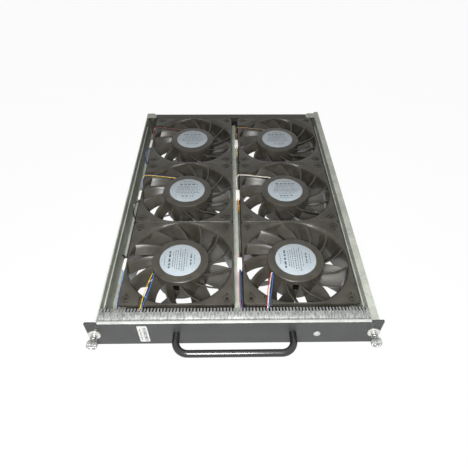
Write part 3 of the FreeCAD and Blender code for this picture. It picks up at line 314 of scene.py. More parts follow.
def cutAway(mesh, cutters):
    holder = bpy.data.objects.new("holder", mesh)
    bpy.context.scene.collection.objects.link(holder)
    for cutter in cutters:
        tool = bpy.data.objects.new("tool", cutter)
        bpy.context.scene.collection.objects.link(tool)
        step = holder.modifiers.new("cut", "BOOLEAN")
        step.object = tool
        step.operation = "DIFFERENCE"
        step.solver = "EXACT"
        bpy.context.view_layer.update()
        result = bpy.data.meshes.new_from_object(holder.evaluated_get(bpy.context.evaluated_depsgraph_get()))
        holder.modifiers.remove(step)
        holder.data = result
        bpy.data.objects.remove(tool)
    result = holder.data
    bpy.data.objects.remove(holder)
    return result


def softenEdges(piece, width, angle=40, segments=2):
    step = piece.modifiers.new("soft_edges", "BEVEL")
    step.width = width * mm
    step.segments = segments
    step.limit_method = "ANGLE"
    step.angle_limit = math.radians(angle)
    step.harden_normals = True
    return piece


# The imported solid's own form with softened edges
def softCopy(node, finish, width, body="tray"):
    mesh = nodes[node].data.copy()
    bm = bmesh.new()
    bm.from_mesh(mesh)
    bmesh.ops.remove_doubles(bm, verts=bm.verts, dist=0.002 * mm)
    bmesh.ops.dissolve_limit(bm, angle_limit=math.radians(0.5), verts=bm.verts, edges=bm.edges)
    bm.to_mesh(mesh)
    bm.free()
    mesh.materials.clear()
    mesh.shade_smooth()
    mesh.set_sharp_from_angle(angle=math.radians(30))
    piece = addPiece(node + "_soft", mesh, finish, body, [node])
    return softenEdges(piece, width, 50)


# Where each fan stands: its axis and seat from the frame, and the two rear rows are turned
fans = []
for number in range(1, 7):
    low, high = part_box(f"fan_{number}_frame")
    row = (number - 1) % 3
    turn = 0 if row == 0 else -90
    seat = Vector(((low.x + high.x) / 2, (low.y + high.y) / 2, low.z))
    fans.append((number, row, Matrix.Translation(seat) @ Matrix.Rotation(math.radians(turn), 4, "Z"), seat))

fanFrame = dict(side=120.0, depth=38.0, corner=4.0, bore=58.0, mouth=64.5, mouthDepth=6.0, barrel=59.8,
                flange=4.0, edge=0.2, holeAt=52.5, hole=2.15, ringIn=3.5, ringOut=4.7, ringDeep=1.2,
                pinHole=1.2, pinShift=6.0, pinDeep=3.0, notchAt=-34.7, notchWide=8.0, notchRun=11.0, notchDeep=3.0,
                hub=32.0, hubWall=1.8, hubPlate=2.4, hubHigh=16.5, windowWide=6.6, windowHigh=12.0,
                windowAt=-2.6, windowRim=0.9, rimProud=0.4, rimSunk=1.2,
                tube=6.0, tubeBore=4.05, tubeLow=10.0, vanes=13, vaneStart=-5.7, vaneSweep=22.0,
                vaneThick=2.5, vaneTop=36.2, vaneDip=3.0, vaneHigh=10.4, vaneLean=8.4)


def squareReach(angle, half, corner):
    c, s = abs(math.cos(angle)), abs(math.sin(angle))
    reach = half / max(c, s)
    inner = half - corner
    if min(c, s) * reach > inner:
        b = inner * (c + s)
        reach = b + math.sqrt(max(b * b - 2 * inner * inner + corner * corner, 0))
    return reach


# The flared mouth of the bore at a share of its depth, cut off by the frame's four sides
def mouthReach(angle, share):
    f = fanFrame
    wide = min(f["mouth"], (f["bore"] + 0.3) / max(abs(math.cos(angle)), abs(math.sin(angle))))
    return f["bore"] + (wide - f["bore"]) * (1 - math.sqrt(1 - min(share, 1) ** 2))


def frameShell(bm):
    f = fanFrame
    half, top = f["side"] / 2, f["depth"]
    angles = []
    for quarter in range(4):
        steps = [2 * i for i in range(22)] + [43 + 0.4 * i for i in range(11)] + [48 + 2 * i for i in range(21)]
        angles += [math.radians(90 * quarter + a) for a in steps]

    def ring(reach, z):
        return [(reach(a) * math.cos(a), reach(a) * math.sin(a), z) for a in angles]

    def outer(inset):
        return lambda a: squareReach(a, half - inset, f["corner"] - inset)

    def bell(share):
        return lambda a: mouthReach(a, share)

    edge, flange = f["edge"], f["flange"]
    rings = [ring(outer(edge), 0), ring(outer(0), edge), ring(outer(0), flange),
             ring(lambda a: f["barrel"], flange), ring(lambda a: f["barrel"], top - flange),
             ring(outer(0), top - flange), ring(outer(0), top - edge), ring(outer(edge), top)]
    rings += [ring(bell(share), top - f["mouthDepth"] * (1 - share)) for share in (1, 0.93, 0.8, 0.55, 0.25, 0)]
    rings += [ring(lambda a: f["bore"], 2 * edge), ring(lambda a: f["bore"] + edge, 0)]
    loftRings(bm, rings, looped=True)


def hubShell(bm):
    f = fanFrame
    top, hub = f["depth"], f["hub"]
    inside, bottom, plate = hub - f["hubWall"], top - f["hubHigh"], top - f["hubPlate"]
    turnProfile(bm, [(0, top), (hub - 2.2, top), (hub - 1.1, top - 0.25), (hub - 0.3, top - 0.9), (hub, top - 2),
                     (hub, bottom + 0.3), (hub - 0.3, bottom), (inside, bottom), (inside, plate),
                     (f["tube"], plate), (f["tube"], f["tubeLow"]), (f["tubeBore"], f["tubeLow"]),
                     (f["tubeBore"], plate - 0.4), (0, plate - 0.4)], steps=96)


# A guide vane leans ahead towards the rotor, and its root lies lower than its tip
def guideVane(bm, start):
    f = fanFrame
    root = f["hub"] - 1.5
    flareLow = f["depth"] - f["mouthDepth"]
    rings = []
    for i in range(17):
        s = i / 16
        base = math.radians(start + f["vaneSweep"] * s)
        top = f["vaneTop"] - f["vaneDip"] * (1 - s)
        left, right = [], []
        for u, full in ((0, 0.6), (0.05, 1), (0.3, 1), (0.55, 1), (0.8, 1), (0.96, 0.9), (1, 0.5)):
            z = top - f["vaneHigh"] * u
            end = mouthReach(base, max(z - flareLow, 0) / f["mouthDepth"]) + 0.6
            radius = root + (end - root) * s
            ahead = f["vaneLean"] * u ** 1.15
            half = f["vaneThick"] / 2 * full
            for side, edge in ((-half, left), (half, right)):
                a = base + (ahead + side) / radius
                edge.append((radius * math.cos(a), radius * math.sin(a), z))
        rings.append(left + list(reversed(right)))
    loftRings(bm, rings, capped=True)


def buildFanFrame():
    f = fanFrame
    shell, cutter = bmesh.new(), bmesh.new()
    frameShell(shell)
    top = f["depth"]
    corners = [(x * f["holeAt"], y * f["holeAt"]) for x in (-1, 1) for y in (-1, 1)]
    for x, y in corners:
        turnProfile(cutter, [(0, -1), (f["hole"], -1), (f["hole"], top + 1), (0, top + 1)], 24, at=(x, y, 0))
    for x, y in corners:
        groove = [(f["ringIn"], top - f["ringDeep"]), (f["ringOut"], top - f["ringDeep"]),
                  (f["ringOut"], top + 1), (f["ringIn"], top + 1)]
        turnProfile(cutter, groove, 32, at=(x, y, 0), looped=True)
    for x, y in corners:
        spot = (x, y - math.copysign(f["pinShift"], y), 0)
        pin, deep = f["pinHole"], top - f["pinDeep"]
        turnProfile(cutter, [(0, deep), (pin, deep), (pin, top + 1), (0, top + 1)], 16, at=spot)
    addBlock(cutter, (f["notchAt"] - f["notchWide"] / 2, -f["side"] / 2 - 1, top - f["notchDeep"]),
             (f["notchAt"] + f["notchWide"] / 2, f["notchRun"] - f["side"] / 2, top + 1))
    body = cutAway(meshFrom("fan_frame_shell", shell), [meshFrom("fan_frame_cutter", cutter)])
    hub, window = bmesh.new(), bmesh.new()
    hubShell(hub)
    low, high = top - f["hubHigh"], top - f["hubHigh"] + f["windowHigh"]
    left, right = f["windowAt"] - f["windowWide"] / 2, f["windowAt"] + f["windowWide"] / 2
    addBlock(window, (left, -f["hub"] - 2, low - 1), (right, 3 - f["hub"], high))
    core = cutAway(meshFrom("fan_hub", hub), [meshFrom("fan_hub_window", window)])
    joined = bmesh.new()
    joined.from_mesh(body)
    joined.from_mesh(core)
    bmesh.ops.scale(joined, vec=(1 / mm, 1 / mm, 1 / mm), verts=joined.verts)
    # A moulded rim stands round the lead's window in the hub
    rim, front, back = f["windowRim"], -f["hub"] - f["rimProud"], f["rimSunk"] - f["hub"]
    addBlock(joined, (left - rim, front, high), (right + rim, back, high + rim))
    addBlock(joined, (left - rim, front, low), (left, back, high))
    addBlock(joined, (right, front, low), (right + rim, back, high))
    for i in range(f["vanes"]):
        guideVane(joined, f["vaneStart"] + 360 * i / f["vanes"])
    return meshFrom("fan_frame_form", joined)


fanFrameMesh = buildFanFrame()
for number, row, place, seat in fans:
    addPiece(f"fan_{number}_housing", fanFrameMesh, "fanPlastic", "tray",
             [f"fan_{number}_frame"], place)
print("fan housings built")

fanRotor = dict(cup=29.5, floor=3.0, high=19.5, bore=24.0, bevel=2.0, boss=5.0, shaft=1.52, blades=7, low=4.0,
                rise=16.5, root=16.0, tip=26.0, reach=56.5, sweep=12.0, thick=1.8, camber=2.2, rimShadeBand=1.8)


def rotorBlade(bm, start):
    r = fanRotor
    rings = []
    for i in range(13):
        s = i / 12
        radius = r["cup"] - 1.2 + (r["reach"] - r["cup"] + 1.2) * s
        base = math.radians(start - r["sweep"] * s)
        run = r["root"] + (r["tip"] - r["root"]) * s
        upper, lower = [], []
        for k in range(11):
            u = k / 10
            chord = (u - 0.5) * run + r["camber"] * math.sin(math.pi * u)
            z = r["low"] + r["rise"] * u
            half = r["thick"] / 2 * (0.35 + 0.65 * math.sin(math.pi * min(max(u, 0.04), 0.96)))
            for side, edge in ((half, upper), (-half, lower)):
                a = base + (chord - side * 0.75) / radius
                edge.append((radius * math.cos(a), radius * math.sin(a), z + side * 0.6 * math.sin(math.pi * u)))
        rings.append(upper + list(reversed(lower)))
    loftRings(bm, rings, capped=True)


def buildRotor():
    r = fanRotor
    bm = bmesh.new()
    top, plate = r["floor"] + r["high"], 2 * r["floor"]
    turnProfile(bm, [(r["shaft"], r["floor"]), (r["cup"] - r["bevel"], r["floor"]),
                     (r["cup"] - 0.6, r["floor"] + 0.6), (r["cup"], r["floor"] + r["bevel"]),
                     (r["cup"], top - r["rimShadeBand"]), (r["cup"], top),
                     (r["bore"], top), (r["bore"], plate), (r["boss"], plate), (r["boss"], 1.5 * plate),
                     (r["shaft"], 1.5 * plate)], steps=96, looped=True)
    for i in range(r["blades"]):
        rotorBlade(bm, 360 * i / r["blades"])
    mesh = meshFrom("fan_rotor_form", bm)
    # The dark magnet ring lines the cup; the cup's top rim, seen through the hub's window, takes the same
    # near-black as painted shade
    for face in mesh.polygons:
        spot = face.center / mm
        out = math.hypot(spot.x, spot.y)
        lining = spot.z > plate + 0.1 and r["boss"] + 1 < out < r["cup"] - 0.2
        # Painted shade: the top band of the cup that shows through the hub window
        rim = spot.z > top - r["rimShadeBand"] and out < r["cup"] + 0.1
        if lining or rim:
            face.material_index = 1
    return mesh


rotorMesh = buildRotor()
for number, row, place, seat in fans:
    addPiece(f"fan_{number}_impeller", rotorMesh, ["rotorPlastic", "ferrite"], f"rotor_{number}",
             [f"fan_{number}_rotor"], place)
print("rotors built")

hubLabel = dict(radius=23.0, thick=0.15, printLift=0.03,
                rows=[(-17.5, 8, 0.7), (-12.0, 13, 2.0), (-8.0, 12, 0.8), (-5.6, 14, 0.7), (-3.2, 15, 0.7),
                      (-0.4, 17, 0.9), (2.2, 16, 0.7), (4.8, 17, 0.9), (7.6, 12, 0.7), (12.0, 9, 1.6),
                      (16.0, 8, 0.7)])


# Plain round labels; the print is only rows of short bars
def buildLabels():
    label, bars = bmesh.new(), bmesh.new()
    rng = random.Random(4)
    for number, row, place, seat in fans:
        spot = seat / mm + Vector((0, 0, fanFrame["depth"]))
        rim, thick = hubLabel["radius"], hubLabel["thick"]
        turnProfile(label, [(0, 0), (rim, 0), (rim, thick - 0.05), (rim - 0.1, thick), (0, thick)], 72, at=spot)
        seatPrint = Matrix.Translation(spot + Vector((0, 0, thick))) @ place.to_3x3().to_4x4()
        for across, reach, wide in hubLabel["rows"]:
            at = -reach + rng.uniform(0, 3)
            while at < reach - 1:
                end = min(at + rng.uniform(0.8, 1.6) * (1 + wide), reach)
                made = addBlock(bars, (across - wide / 2, at, 0), (across + wide / 2, end, hubLabel["printLift"]))
                bmesh.ops.transform(bars, matrix=seatPrint, verts=made)
                at = end + rng.uniform(0.4, 0.8) * (1 + wide)
    return meshFrom("hub_label_form", label), meshFrom("hub_print_form", bars)


labelMesh, printMesh = buildLabels()
addPiece("hub_labels", labelMesh, "film", "tray", ["fan_labels"])
addPiece("hub_print", printMesh, "print", "tray")
print("hub labels laid")

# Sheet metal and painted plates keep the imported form, with softened edges
softCopy("front_panel", "panel", 0.35)
softCopy("gasket_carrier", "brightZinc", 0.25)
softCopy("rear_panel", "rearPaint", 0.25)
softCopy("centre_rail", "railZinc", 0.25)
softCopy("rear_connector", "moulding", 0.25)

# The tray, its fasteners and the motor parts keep their packed form
packed = {"tray_pan": "galvanised", "motor_boards": "board", "fan_bearings": "ground", "fan_screws": "zinc",
          "rivets": "zinc", "handle_screws": "zinc", "left_snap_ring": "ground", "right_snap_ring": "ground"}
for number in range(1, 7):
    packed[f"fan_{number}_shaft"] = "ground"
    packed[f"fan_{number}_stator"] = "copper"
for part, finish in packed.items():
    nodes[part].data.materials.clear()
    nodes[part].data.materials.append(finishes[finish])
print("sheet metal and inner parts finished")

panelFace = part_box("front_panel")[0].y / mm
panelMiddle = 20.0

bowHandle = dict(span=118.6, bar=7.5, reach=22.4, bend=13.0, turnSteps=12, sides=28)


def buildHandle():
    h = bowHandle
    leg, out, bend = h["span"] / 2, h["reach"], h["bend"]
    path = [(-leg, 0.0), (-leg, bend - out)]
    for i in range(1, h["turnSteps"] + 1):
        a = math.pi / 2 * i / h["turnSteps"]
        path.append((bend - leg - bend * math.cos(a), bend - out - bend * math.sin(a)))
    path += [(-x, y) for x, y in reversed(path)]
    rings = []
    for i, (x, y) in enumerate(path):
        before, after = path[max(i - 1, 0)], path[min(i + 1, len(path) - 1)]
        way = Vector((after[0] - before[0], after[1] - before[1], 0)).normalized()
        side = Vector((way.y, -way.x, 0))
        ring = []
        for k in range(h["sides"]):
            a = 2 * math.pi * k / h["sides"]
            p = Vector((x, y, 0)) + side * (h["bar"] / 2 * math.cos(a))
            ring.append((p.x, panelFace + p.y, panelMiddle + h["bar"] / 2 * math.sin(a)))
        rings.append(ring)
    bm = bmesh.new()
    loftRings(bm, rings, capped=True)
    return meshFrom("bow_handle_form", bm)


addPiece("bow_handle", buildHandle(), "handle", "tray", ["handle"])
print("handle bent")

gasket = dict(front=2.4, deep=15.0, rise=1.6, stock=0.25, pitch=3.35, gap=0.5, root=2.0, count=81, top=40.0,
              steps=14, waist=0.5, waistFrom=0.5, waistRun=0.2, sag=0.2, tilt=0.15, dip=0.9, dipFrom=0.55)


# Each finger arches over from the strip and dips at its free end; handling left them slightly uneven
def buildGasket():
    g = gasket
    bm = bmesh.new()
    rng = random.Random(11)
    start = -g["count"] * g["pitch"] / 2
    addBlock(bm, (start, panelFace + g["front"], g["top"]),
             (-start, panelFace + g["front"] + g["root"], g["top"] + g["stock"]))
    for i in range(g["count"]):
        x0 = start + i * g["pitch"] + (0 if i == 0 else g["gap"] / 2)
        x1 = start + (i + 1) * g["pitch"] - (0 if i == g["count"] - 1 else g["gap"] / 2)
        lift, tilt = rng.uniform(-g["sag"], 0.0), rng.uniform(-g["tilt"], g["tilt"])
        rings = []
        for k in range(g["steps"] + 1):
            s = k / g["steps"]
            y = panelFace + g["front"] + g["root"] + (g["deep"] - g["root"]) * s
            arch = math.sin(math.pi * min(s / 0.95, 1)) ** 0.8
            dip = g["dip"] * max(0, s - g["dipFrom"]) ** 2
            z = g["top"] + g["stock"] + (g["rise"] - g["stock"] + lift) * arch - dip
            waist = g["waist"] * min(max((s - g["waistFrom"]) / g["waistRun"], 0), 1)
            a, b = x0 + waist, x1 - waist
            rings.append([(a, y, z - tilt * arch), (b, y, z + tilt * arch),
                          (b, y, z + tilt * arch - g["stock"]), (a, y, z - tilt * arch - g["stock"])])
        loftRings(bm, rings, capped=True)
    return meshFrom("finger_gasket_form", bm, 50)


addPiece("finger_gasket", buildGasket(), "springStrip", "tray", ["emi_gasket"])
print("gasket fingers formed")

captive = dict(x=142.5, knob=5.4, knobLong=6.5, out=15.0, wall=1.1, floor=3.0, neck=2.5, groove=1.7,
               ringAt=2.96, ringThick=0.7, ringPlay=0.08, shoulder=1.9, threadAt=2.9, tip=2.0, tipEnd=12.6,
               teeth=36, toothDeep=0.4, slotWide=1.1, slotDeep=1.1, slotReach=8.0, pitch=0.7, threadDeep=0.3,
               flange=6.4, face=1.6, barrel=4.4, tail=2.8, bore=2.58, coil=3.4, coilWire=0.3, turns=4, pressed=0.46)


def buildThumbscrew(x):
    c = captive
    bm = bmesh.new()
    steps = c["teeth"] * 4
    rings = []

    def ring(radius, y, knurl=0.0):
        points = []
        for i in range(steps):
            a = 2 * math.pi * i / steps
            reach = radius - knurl * (0, 0.7, 1, 0.7)[i % 4]
            points.append((x + reach * math.sin(a), panelFace + y, panelMiddle + reach * math.cos(a)))
        return points

    front, back = -c["out"], c["knobLong"] - c["out"]
    knob, neck, groove, deep = c["knob"], c["neck"], c["groove"], c["toothDeep"]
    ringFrom, ringTo = c["ringAt"] - c["ringPlay"], c["ringAt"] + c["ringThick"] + c["ringPlay"]
    profile = [(0.01, front + 0.5, 0), (knob - 2.6, front + 0.5, 0), (knob - 2.2, front, 0),
               (knob - 1.0, front, 0), (knob - 0.5, front + 0.35, 0), (knob - 0.1, front + 0.9, deep),
               (knob, front + 1.2, deep), (knob, back - 1.4, deep), (knob - 0.1, back - 1.1, deep),
               (knob - 0.5, back - 0.9, 0), (knob - 0.5, back - 0.3, 0), (knob - 0.7, back, 0),
               (knob - c["wall"], back, 0), (knob - c["wall"], front + c["floor"], 0),
               (neck, front + c["floor"], 0), (neck, ringFrom, 0), (groove, ringFrom, 0), (groove, ringTo, 0),
               (neck, ringTo, 0), (neck, c["ringAt"] + c["shoulder"], 0)]
    y = c["ringAt"] + c["threadAt"]
    crest = True
    while y < c["tipEnd"] - 0.8:
        profile.append((c["tip"] if crest else c["tip"] - c["threadDeep"], y, 0))
        crest = not crest
        y += c["pitch"] / 2
    profile += [(c["tip"] - 0.5, c["tipEnd"], 0), (0.01, c["tipEnd"], 0)]
    for radius, along, knurl in profile:
        rings.append(ring(radius, along, knurl))
    loftRings(bm, rings)
    mesh = meshFrom("thumbscrew_form", bm, 30)
    slot = bmesh.new()
    addBlock(slot, (x - c["slotReach"], panelFace + front - 1, panelMiddle - c["slotWide"] / 2),
             (x + c["slotReach"], panelFace + front + c["slotDeep"], panelMiddle + c["slotWide"] / 2))
    return cutAway(mesh, [meshFrom("thumbscrew_slot", slot)])


# A coiled round wire
def buildSpring(x):
    c = captive
    start, end = c["floor"] - c["out"] + 0.4, -c["face"] - 0.4
    steps = c["turns"] * 28
    rings = []
    for i in range(steps + 1):
        a = 2 * math.pi * c["turns"] * i / steps
        out = Vector((math.cos(a), 0, math.sin(a)))
        middle = Vector((x, panelFace + start + (end - start) * i / steps, panelMiddle)) + out * c["coil"]
        ring = []
        for k in range(8):
            b = 2 * math.pi * k / 8
            along = Vector((0, c["coilWire"] * math.sin(b), 0))
            ring.append(middle + out * (c["coilWire"] * math.cos(b)) + along)
        rings.append(ring)
    bm = bmesh.new()
    loftRings(bm, rings, capped=True)
    return meshFrom("return_spring_form", bm)


def buildFerrules():
    c = captive
    bm = bmesh.new()
    for side in (-1, 1):
        spot = (side * c["x"], panelFace, panelMiddle)
        bore, flange, barrel, face = c["bore"], c["flange"], c["barrel"], -c["face"]
        turnProfile(bm, [(bore, face), (flange - 0.6, face), (flange - 0.15, face + 0.2), (flange, face + 0.6),
                         (flange, 0), (barrel, 0), (barrel, c["tail"]), (bore, c["tail"])],
                    64, "Y", spot, looped=True)
    return meshFrom("screw_ferrule_form", bm)


for name, side in (("left", -1), ("right", 1)):
    x = side * captive["x"]
    addPiece(f"{name}_knurled_screw", buildThumbscrew(x), "dullNickel", f"{name}_screw",
             [f"{name}_thumbscrew"])
    coil = addPiece(f"{name}_return_spring", buildSpring(x), "ground", "tray",
                    [f"{name}_spring"])
    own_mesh(coil)
addPiece("ferrules", buildFerrules(), "nickel", "tray", ["screw_ferrules"])
print("captive screws turned")

lamp = dict(x=84.5, z=18.0, radius=3.0, rim=3.7, long=8.0, dome=2.2, lip=0.5, lipEdge=0.45, crown=0.92)


def buildLens():
    bm = bmesh.new()
    profile = [(0.01, -lamp["dome"])]
    for i in range(1, 9):
        a = math.pi / 2 * i / 8
        profile.append((lamp["rim"] * math.sin(a) * lamp["crown"],
                        -lamp["lip"] - (lamp["dome"] - lamp["lip"]) * math.cos(a)))
    profile += [(lamp["rim"], -lamp["lipEdge"]), (lamp["rim"], 0), (lamp["radius"], 0),
                (lamp["radius"], lamp["long"]), (0.01, lamp["long"])]
    turnProfile(bm, profile, 48, "Y", (lamp["x"], panelFace, lamp["z"]))
    return meshFrom("status_lens_form", bm)


addPiece("status_lens", buildLens(), "lens", "tray", ["led_lens"])

tag = dict(x=-92.7, wide=10.2, high=30.0, thick=0.15, corner=1.6, inkLift=0.03, wideBars=(0.3, 3.6),
           shortBars=(-3.2, -2.2), shortCount=9, shortStart=-11.0, shortPitch=2.4)


def buildTag():
    bm = bmesh.new()
    outline = []
    for quarter, (sx, sz) in enumerate(((1, 1), (-1, 1), (-1, -1), (1, -1))):
        for i in range(7):
            a = math.pi / 2 * (quarter + i / 6)
            outline.append((tag["x"] + sx * (tag["wide"] / 2 - tag["corner"]) + tag["corner"] * math.cos(a),
                            panelMiddle + sz * (tag["high"] / 2 - tag["corner"]) + tag["corner"] * math.sin(a)))
    rings = [[(x, panelFace, z) for x, z in outline], [(x, panelFace - tag["thick"], z) for x, z in outline]]
    loftRings(bm, rings, capped=True)
    return meshFrom("panel_tag_form", bm)


def buildTagBars():
    bm = bmesh.new()
    rng = random.Random(8)
    front = panelFace - tag["thick"]
    z = panelMiddle - tag["high"] / 2 + 2
    while z < panelMiddle + tag["high"] / 2 - 3:
        high = rng.uniform(0.5, 1.3)
        left, right = [tag["x"] + v for v in tag["wideBars"]]
        addBlock(bm, (left, front - tag["inkLift"], z), (right, front, z + high))
        z += high + rng.uniform(0.5, 1.1)
    for i in range(tag["shortCount"]):
        low = panelMiddle + tag["shortStart"] + i * tag["shortPitch"]
        left, right = [tag["x"] + v for v in tag["shortBars"]]
        addBlock(bm, (left, front - tag["inkLift"], low), (right, front, low + rng.uniform(1.0, 1.8)))
    return meshFrom("panel_tag_print_form", bm)


addPiece("panel_tag", buildTag(), "sticker", "tray", ["panel_sticker"])
addPiece("panel_tag_print", buildTagBars(), "ink", "tray")
print("lens and tag set")

# Each station gives a place along the connector and how far its sides step in
plug = dict(wide=5.2, end=8.0, high=5.6, shift=1.5, lift=27.68, side=-62.9, latch=2.0, latchReach=4.0,
            latchSunk=0.5, latchProud=0.28,
            stations=[(-8.0, 0.35), (-7.7, 0.05), (-4.2, 0.05), (-4.1, 0.3), (-3.6, 0.3), (-3.5, 0.0),
                      (-0.1, 0.0), (0.0, 0.35), (0.5, 0.35), (0.6, 0.2), (5.4, 0.2), (5.5, 0.45), (6.1, 0.45),
                      (6.2, 0.25), (7.7, 0.25), (8.0, 0.5)])


def buildConnectors():
    p = plug
    bm = bmesh.new()
    for number, row, place, seat in fans:
        cx, cy = seat.x / mm + p["side"], seat.y / mm + p["shift"]
        cz = seat.z / mm + p["lift"]
        half, tall = p["wide"] / 2, p["high"] / 2
        rings = []
        for y, i in p["stations"]:
            left, right, low, high = cx - half + i, cx + half - i, cz - tall + i * 0.4, cz + tall - i
            rings.append([(left, cy + y, low), (right, cy + y, low), (right, cy + y, high), (left, cy + y, high)])
        loftRings(bm, rings, capped=True)
        addBlock(bm, (cx - p["latch"] / 2, cy - p["latchReach"], cz + tall - p["latchSunk"]),
                 (cx + p["latch"] / 2, cy + p["latchReach"], cz + tall + p["latchProud"]))
    return meshFrom("lead_connector_form", bm, 30)


plugs = addPiece("lead_plugs", buildConnectors(), "nylon", "tray", ["lead_connectors"])
softenEdges(plugs, 0.12)
print("connectors moulded")


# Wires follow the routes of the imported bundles; each core keeps its own place in the bundle
def wireCurve(name, runs):
    curve = bpy.data.curves.new(name, "CURVE")
    curve.dimensions = "3D"
    curve.bevel_depth = mm
    curve.bevel_resolution = 3
    curve.use_fill_caps = True
    curve.resolution_u = 8
    used = list(dict.fromkeys(finish for points, finish, radius in runs))
    for finish in used:
        curve.materials.append(finishes[finish])
    for points, finish, radius in runs:
        line = curve.splines.new("NURBS")
        line.points.add(len(points) - 1)
        for point, spot in zip(line.points, points):
            point.co = (*[v * mm for v in spot], 1)
            point.radius = radius
        line.order_u = 3
        line.use_endpoint_u = True
        line.material_index = used.index(finish)
    return curve, used


# The last colour of each lead lies on top once it is off the fan
lead = dict(core=0.44, angle=212.0, root=33.0, sill=36.4, notch=34.7, spread=2.6, pack=0.9, turnedPack=0.6,
            sidePack=0.7, rise=0.75, sink=0.35, sleeved=1, sleeve=1.4, sleeveFrom=8,
            colours={1: ("yellow", "black", "blue"), 2: ("yellow", "black", "blue"), 3: ("black", "black", "red"),
                     4: ("red", "white", "black", "blue"), 5: ("white", "blue", "yellow"),
                     6: ("black", "orange", "green")})


def leadRoute(turned):
    z, x = plug["lift"], plug["side"]
    y = plug["shift"] + (plug["end"] if turned else -plug["end"])
    way = math.radians(lead["angle"])
    rx, ry = lead["root"] * math.cos(way), lead["root"] * math.sin(way)
    notch, edge, sill = lead["notch"], fanFrame["side"] / 2, lead["sill"]
    if turned:
        return [(ry, -rx, sill), (-37, 31.5, sill), (4 - edge, notch, sill), (-2.8 - edge, notch - 0.5, sill),
                (-3.6 - edge, notch - 4, sill - 5), (x - 0.6, notch - 10, z + 1.2), (x, y + 7, z), (x, y, z)]
    return [(rx, ry, sill), (-31.5, -37, sill), (-notch, 4 - edge, sill), (-notch - 0.5, -2.8 - edge, sill),
            (-notch - 3, -5.2 - edge, sill - 5), (-notch - 9, -6.2 - edge, z + 1.5),
            (4 - edge, -6.4 - edge, z + 0.3), (x - 0.7, 1 - edge, z), (x - 0.4, -24, z + 0.2),
            (x, y - 8, z), (x, y, z)]


for number, row, place, seat in fans:
    turned = row > 0
    colours = lead["colours"][number]
    last = len(colours) - 1
    runs = []
    for i, colour in enumerate(colours):
        points = []
        for k, (x, y, z) in enumerate(leadRoute(turned)):
            wide = lead["spread"] if k == 1 else lead["pack"]
            shift = (2 * i / last - 1) * (lead["pack"] * lead["turnedPack"] if turned else wide)
            if k < 4:
                move = (0, shift, 0) if turned else (shift, 0, 0)
            elif i == last:
                move = (0, 0, lead["rise"])
            else:
                move = (lead["pack"] * (2 * i / (last - 1) - 1) * lead["sidePack"], 0, -lead["sink"])
            points.append((seat.x / mm + x + move[0], seat.y / mm + y + move[1], seat.z / mm + z + move[2]))
        runs.append((points, colour, lead["core"]))
        if number == lead["sleeved"] and i == last:
            # This lead is sleeved beside its connector
            covered = [(x, y, z - lead["rise"]) for x, y, z in points[lead["sleeveFrom"]:]]
            runs.append((covered, "paleBlue", lead["sleeve"]))
    curve, used = wireCurve(f"fan_{number}_wires_form", runs)
    addPiece(f"fan_{number}_wires", curve, used, "tray", [f"fan_{number}_lead"])
print("fan leads run")

loom = dict(trunk=1.2, trunkCore=0.6, twig=0.52, twigCore=0.46, trunkCores=6, pair=0.48, pairCore=0.5, flat=0.7,
            left=(-131.3, 6.2), centre=(8.1, 18.2),
            colours={1: ("black", "black", "black"), 2: ("black", "black", "black"), 3: ("blue", "black", "blue"),
                     4: ("black", "red", "black"), 5: ("yellow", "red", "yellow"),
                     6: ("yellow", "white", "orange")})
back = 204.175
leftTrunk = [(-131.3, -75.925, 3.3), (-131.3, back - 14, 3.3), (-127.3, back - 3, 3.3), (-116.3, back, 3.3),
             (-52, back, 3.3), (-34, back, 17), (-24, back, 20), (-12.1, back, 20)]
centreTrunk = [(4.1, -155.925, 20), (4.1, 201.675, 20)]
lampCable = [(84.5, -179.925, 18), (84.5, -175.925, 18), (72.5, -173.425, 18), (28.1, -173.425, 18),
             (6.1, -170.925, 19), (4.1, -161.925, 20), (4.1, -156.425, 20)]


# A branch leaves its connector away from the lead and drops into the loom's lane
def branchRoute(number, row, seat):
    way = 1 if row == 0 else -1
    lane, low = loom["left"] if number < 4 else loom["centre"]
    x, z = seat.x / mm + plug["side"], seat.z / mm + plug["lift"]
    y = seat.y / mm + plug["shift"] + plug["end"] * way
    return [(x, y, z), (x, y + 2 * way, z), (lane + (x - lane) / 5, y + 7 * way, z), (lane, y + 12 * way, z - 6),
            (lane, y + 16 * way, (z + low) / 2), (lane, y + 14 * way, low)]


# Cores lie in a ring about the route
def bundleRuns(route, colours, ring, core):
    runs = []
    for i, colour in enumerate(colours):
        a = 2 * math.pi * (i + 0.25) / len(colours)
        side, lift = ring * math.cos(a) * loom["flat"], ring * math.sin(a)
        runs.append(([(x + side, y + side, z + lift) for x, y, z in route], colour, core))
    return runs


for name, route, members in (("left_loom", leftTrunk, (1, 2, 3)), ("centre_loom", centreTrunk, (4, 5, 6))):
    runs = bundleRuns(route, ["black"] * loom["trunkCores"], loom["trunk"], loom["trunkCore"])
    for number, row, place, seat in fans:
        if number in members:
            branch = branchRoute(number, row, seat)
            runs += bundleRuns(branch, loom["colours"][number], loom["twig"], loom["twigCore"])
    curve, used = wireCurve(f"{name}_form", runs)
    addPiece(f"{name}_wires", curve, used, "tray", [name])
pair = bundleRuns(lampCable, ["black", "black"], loom["pair"], loom["pairCore"])
curve, used = wireCurve("lamp_cable_form", pair)
addPiece("lamp_cable", curve, used, "tray", ["led_cable"])
print("looms run")

# Stage: pale floor, soft lamps, white surround
stage = dict(floor=4.0, floorDrop=0.0005, floorTone="#F4F4F3", cameraShare=0.96, worldTone="#FFFFFF",
             worldLight=0.03)


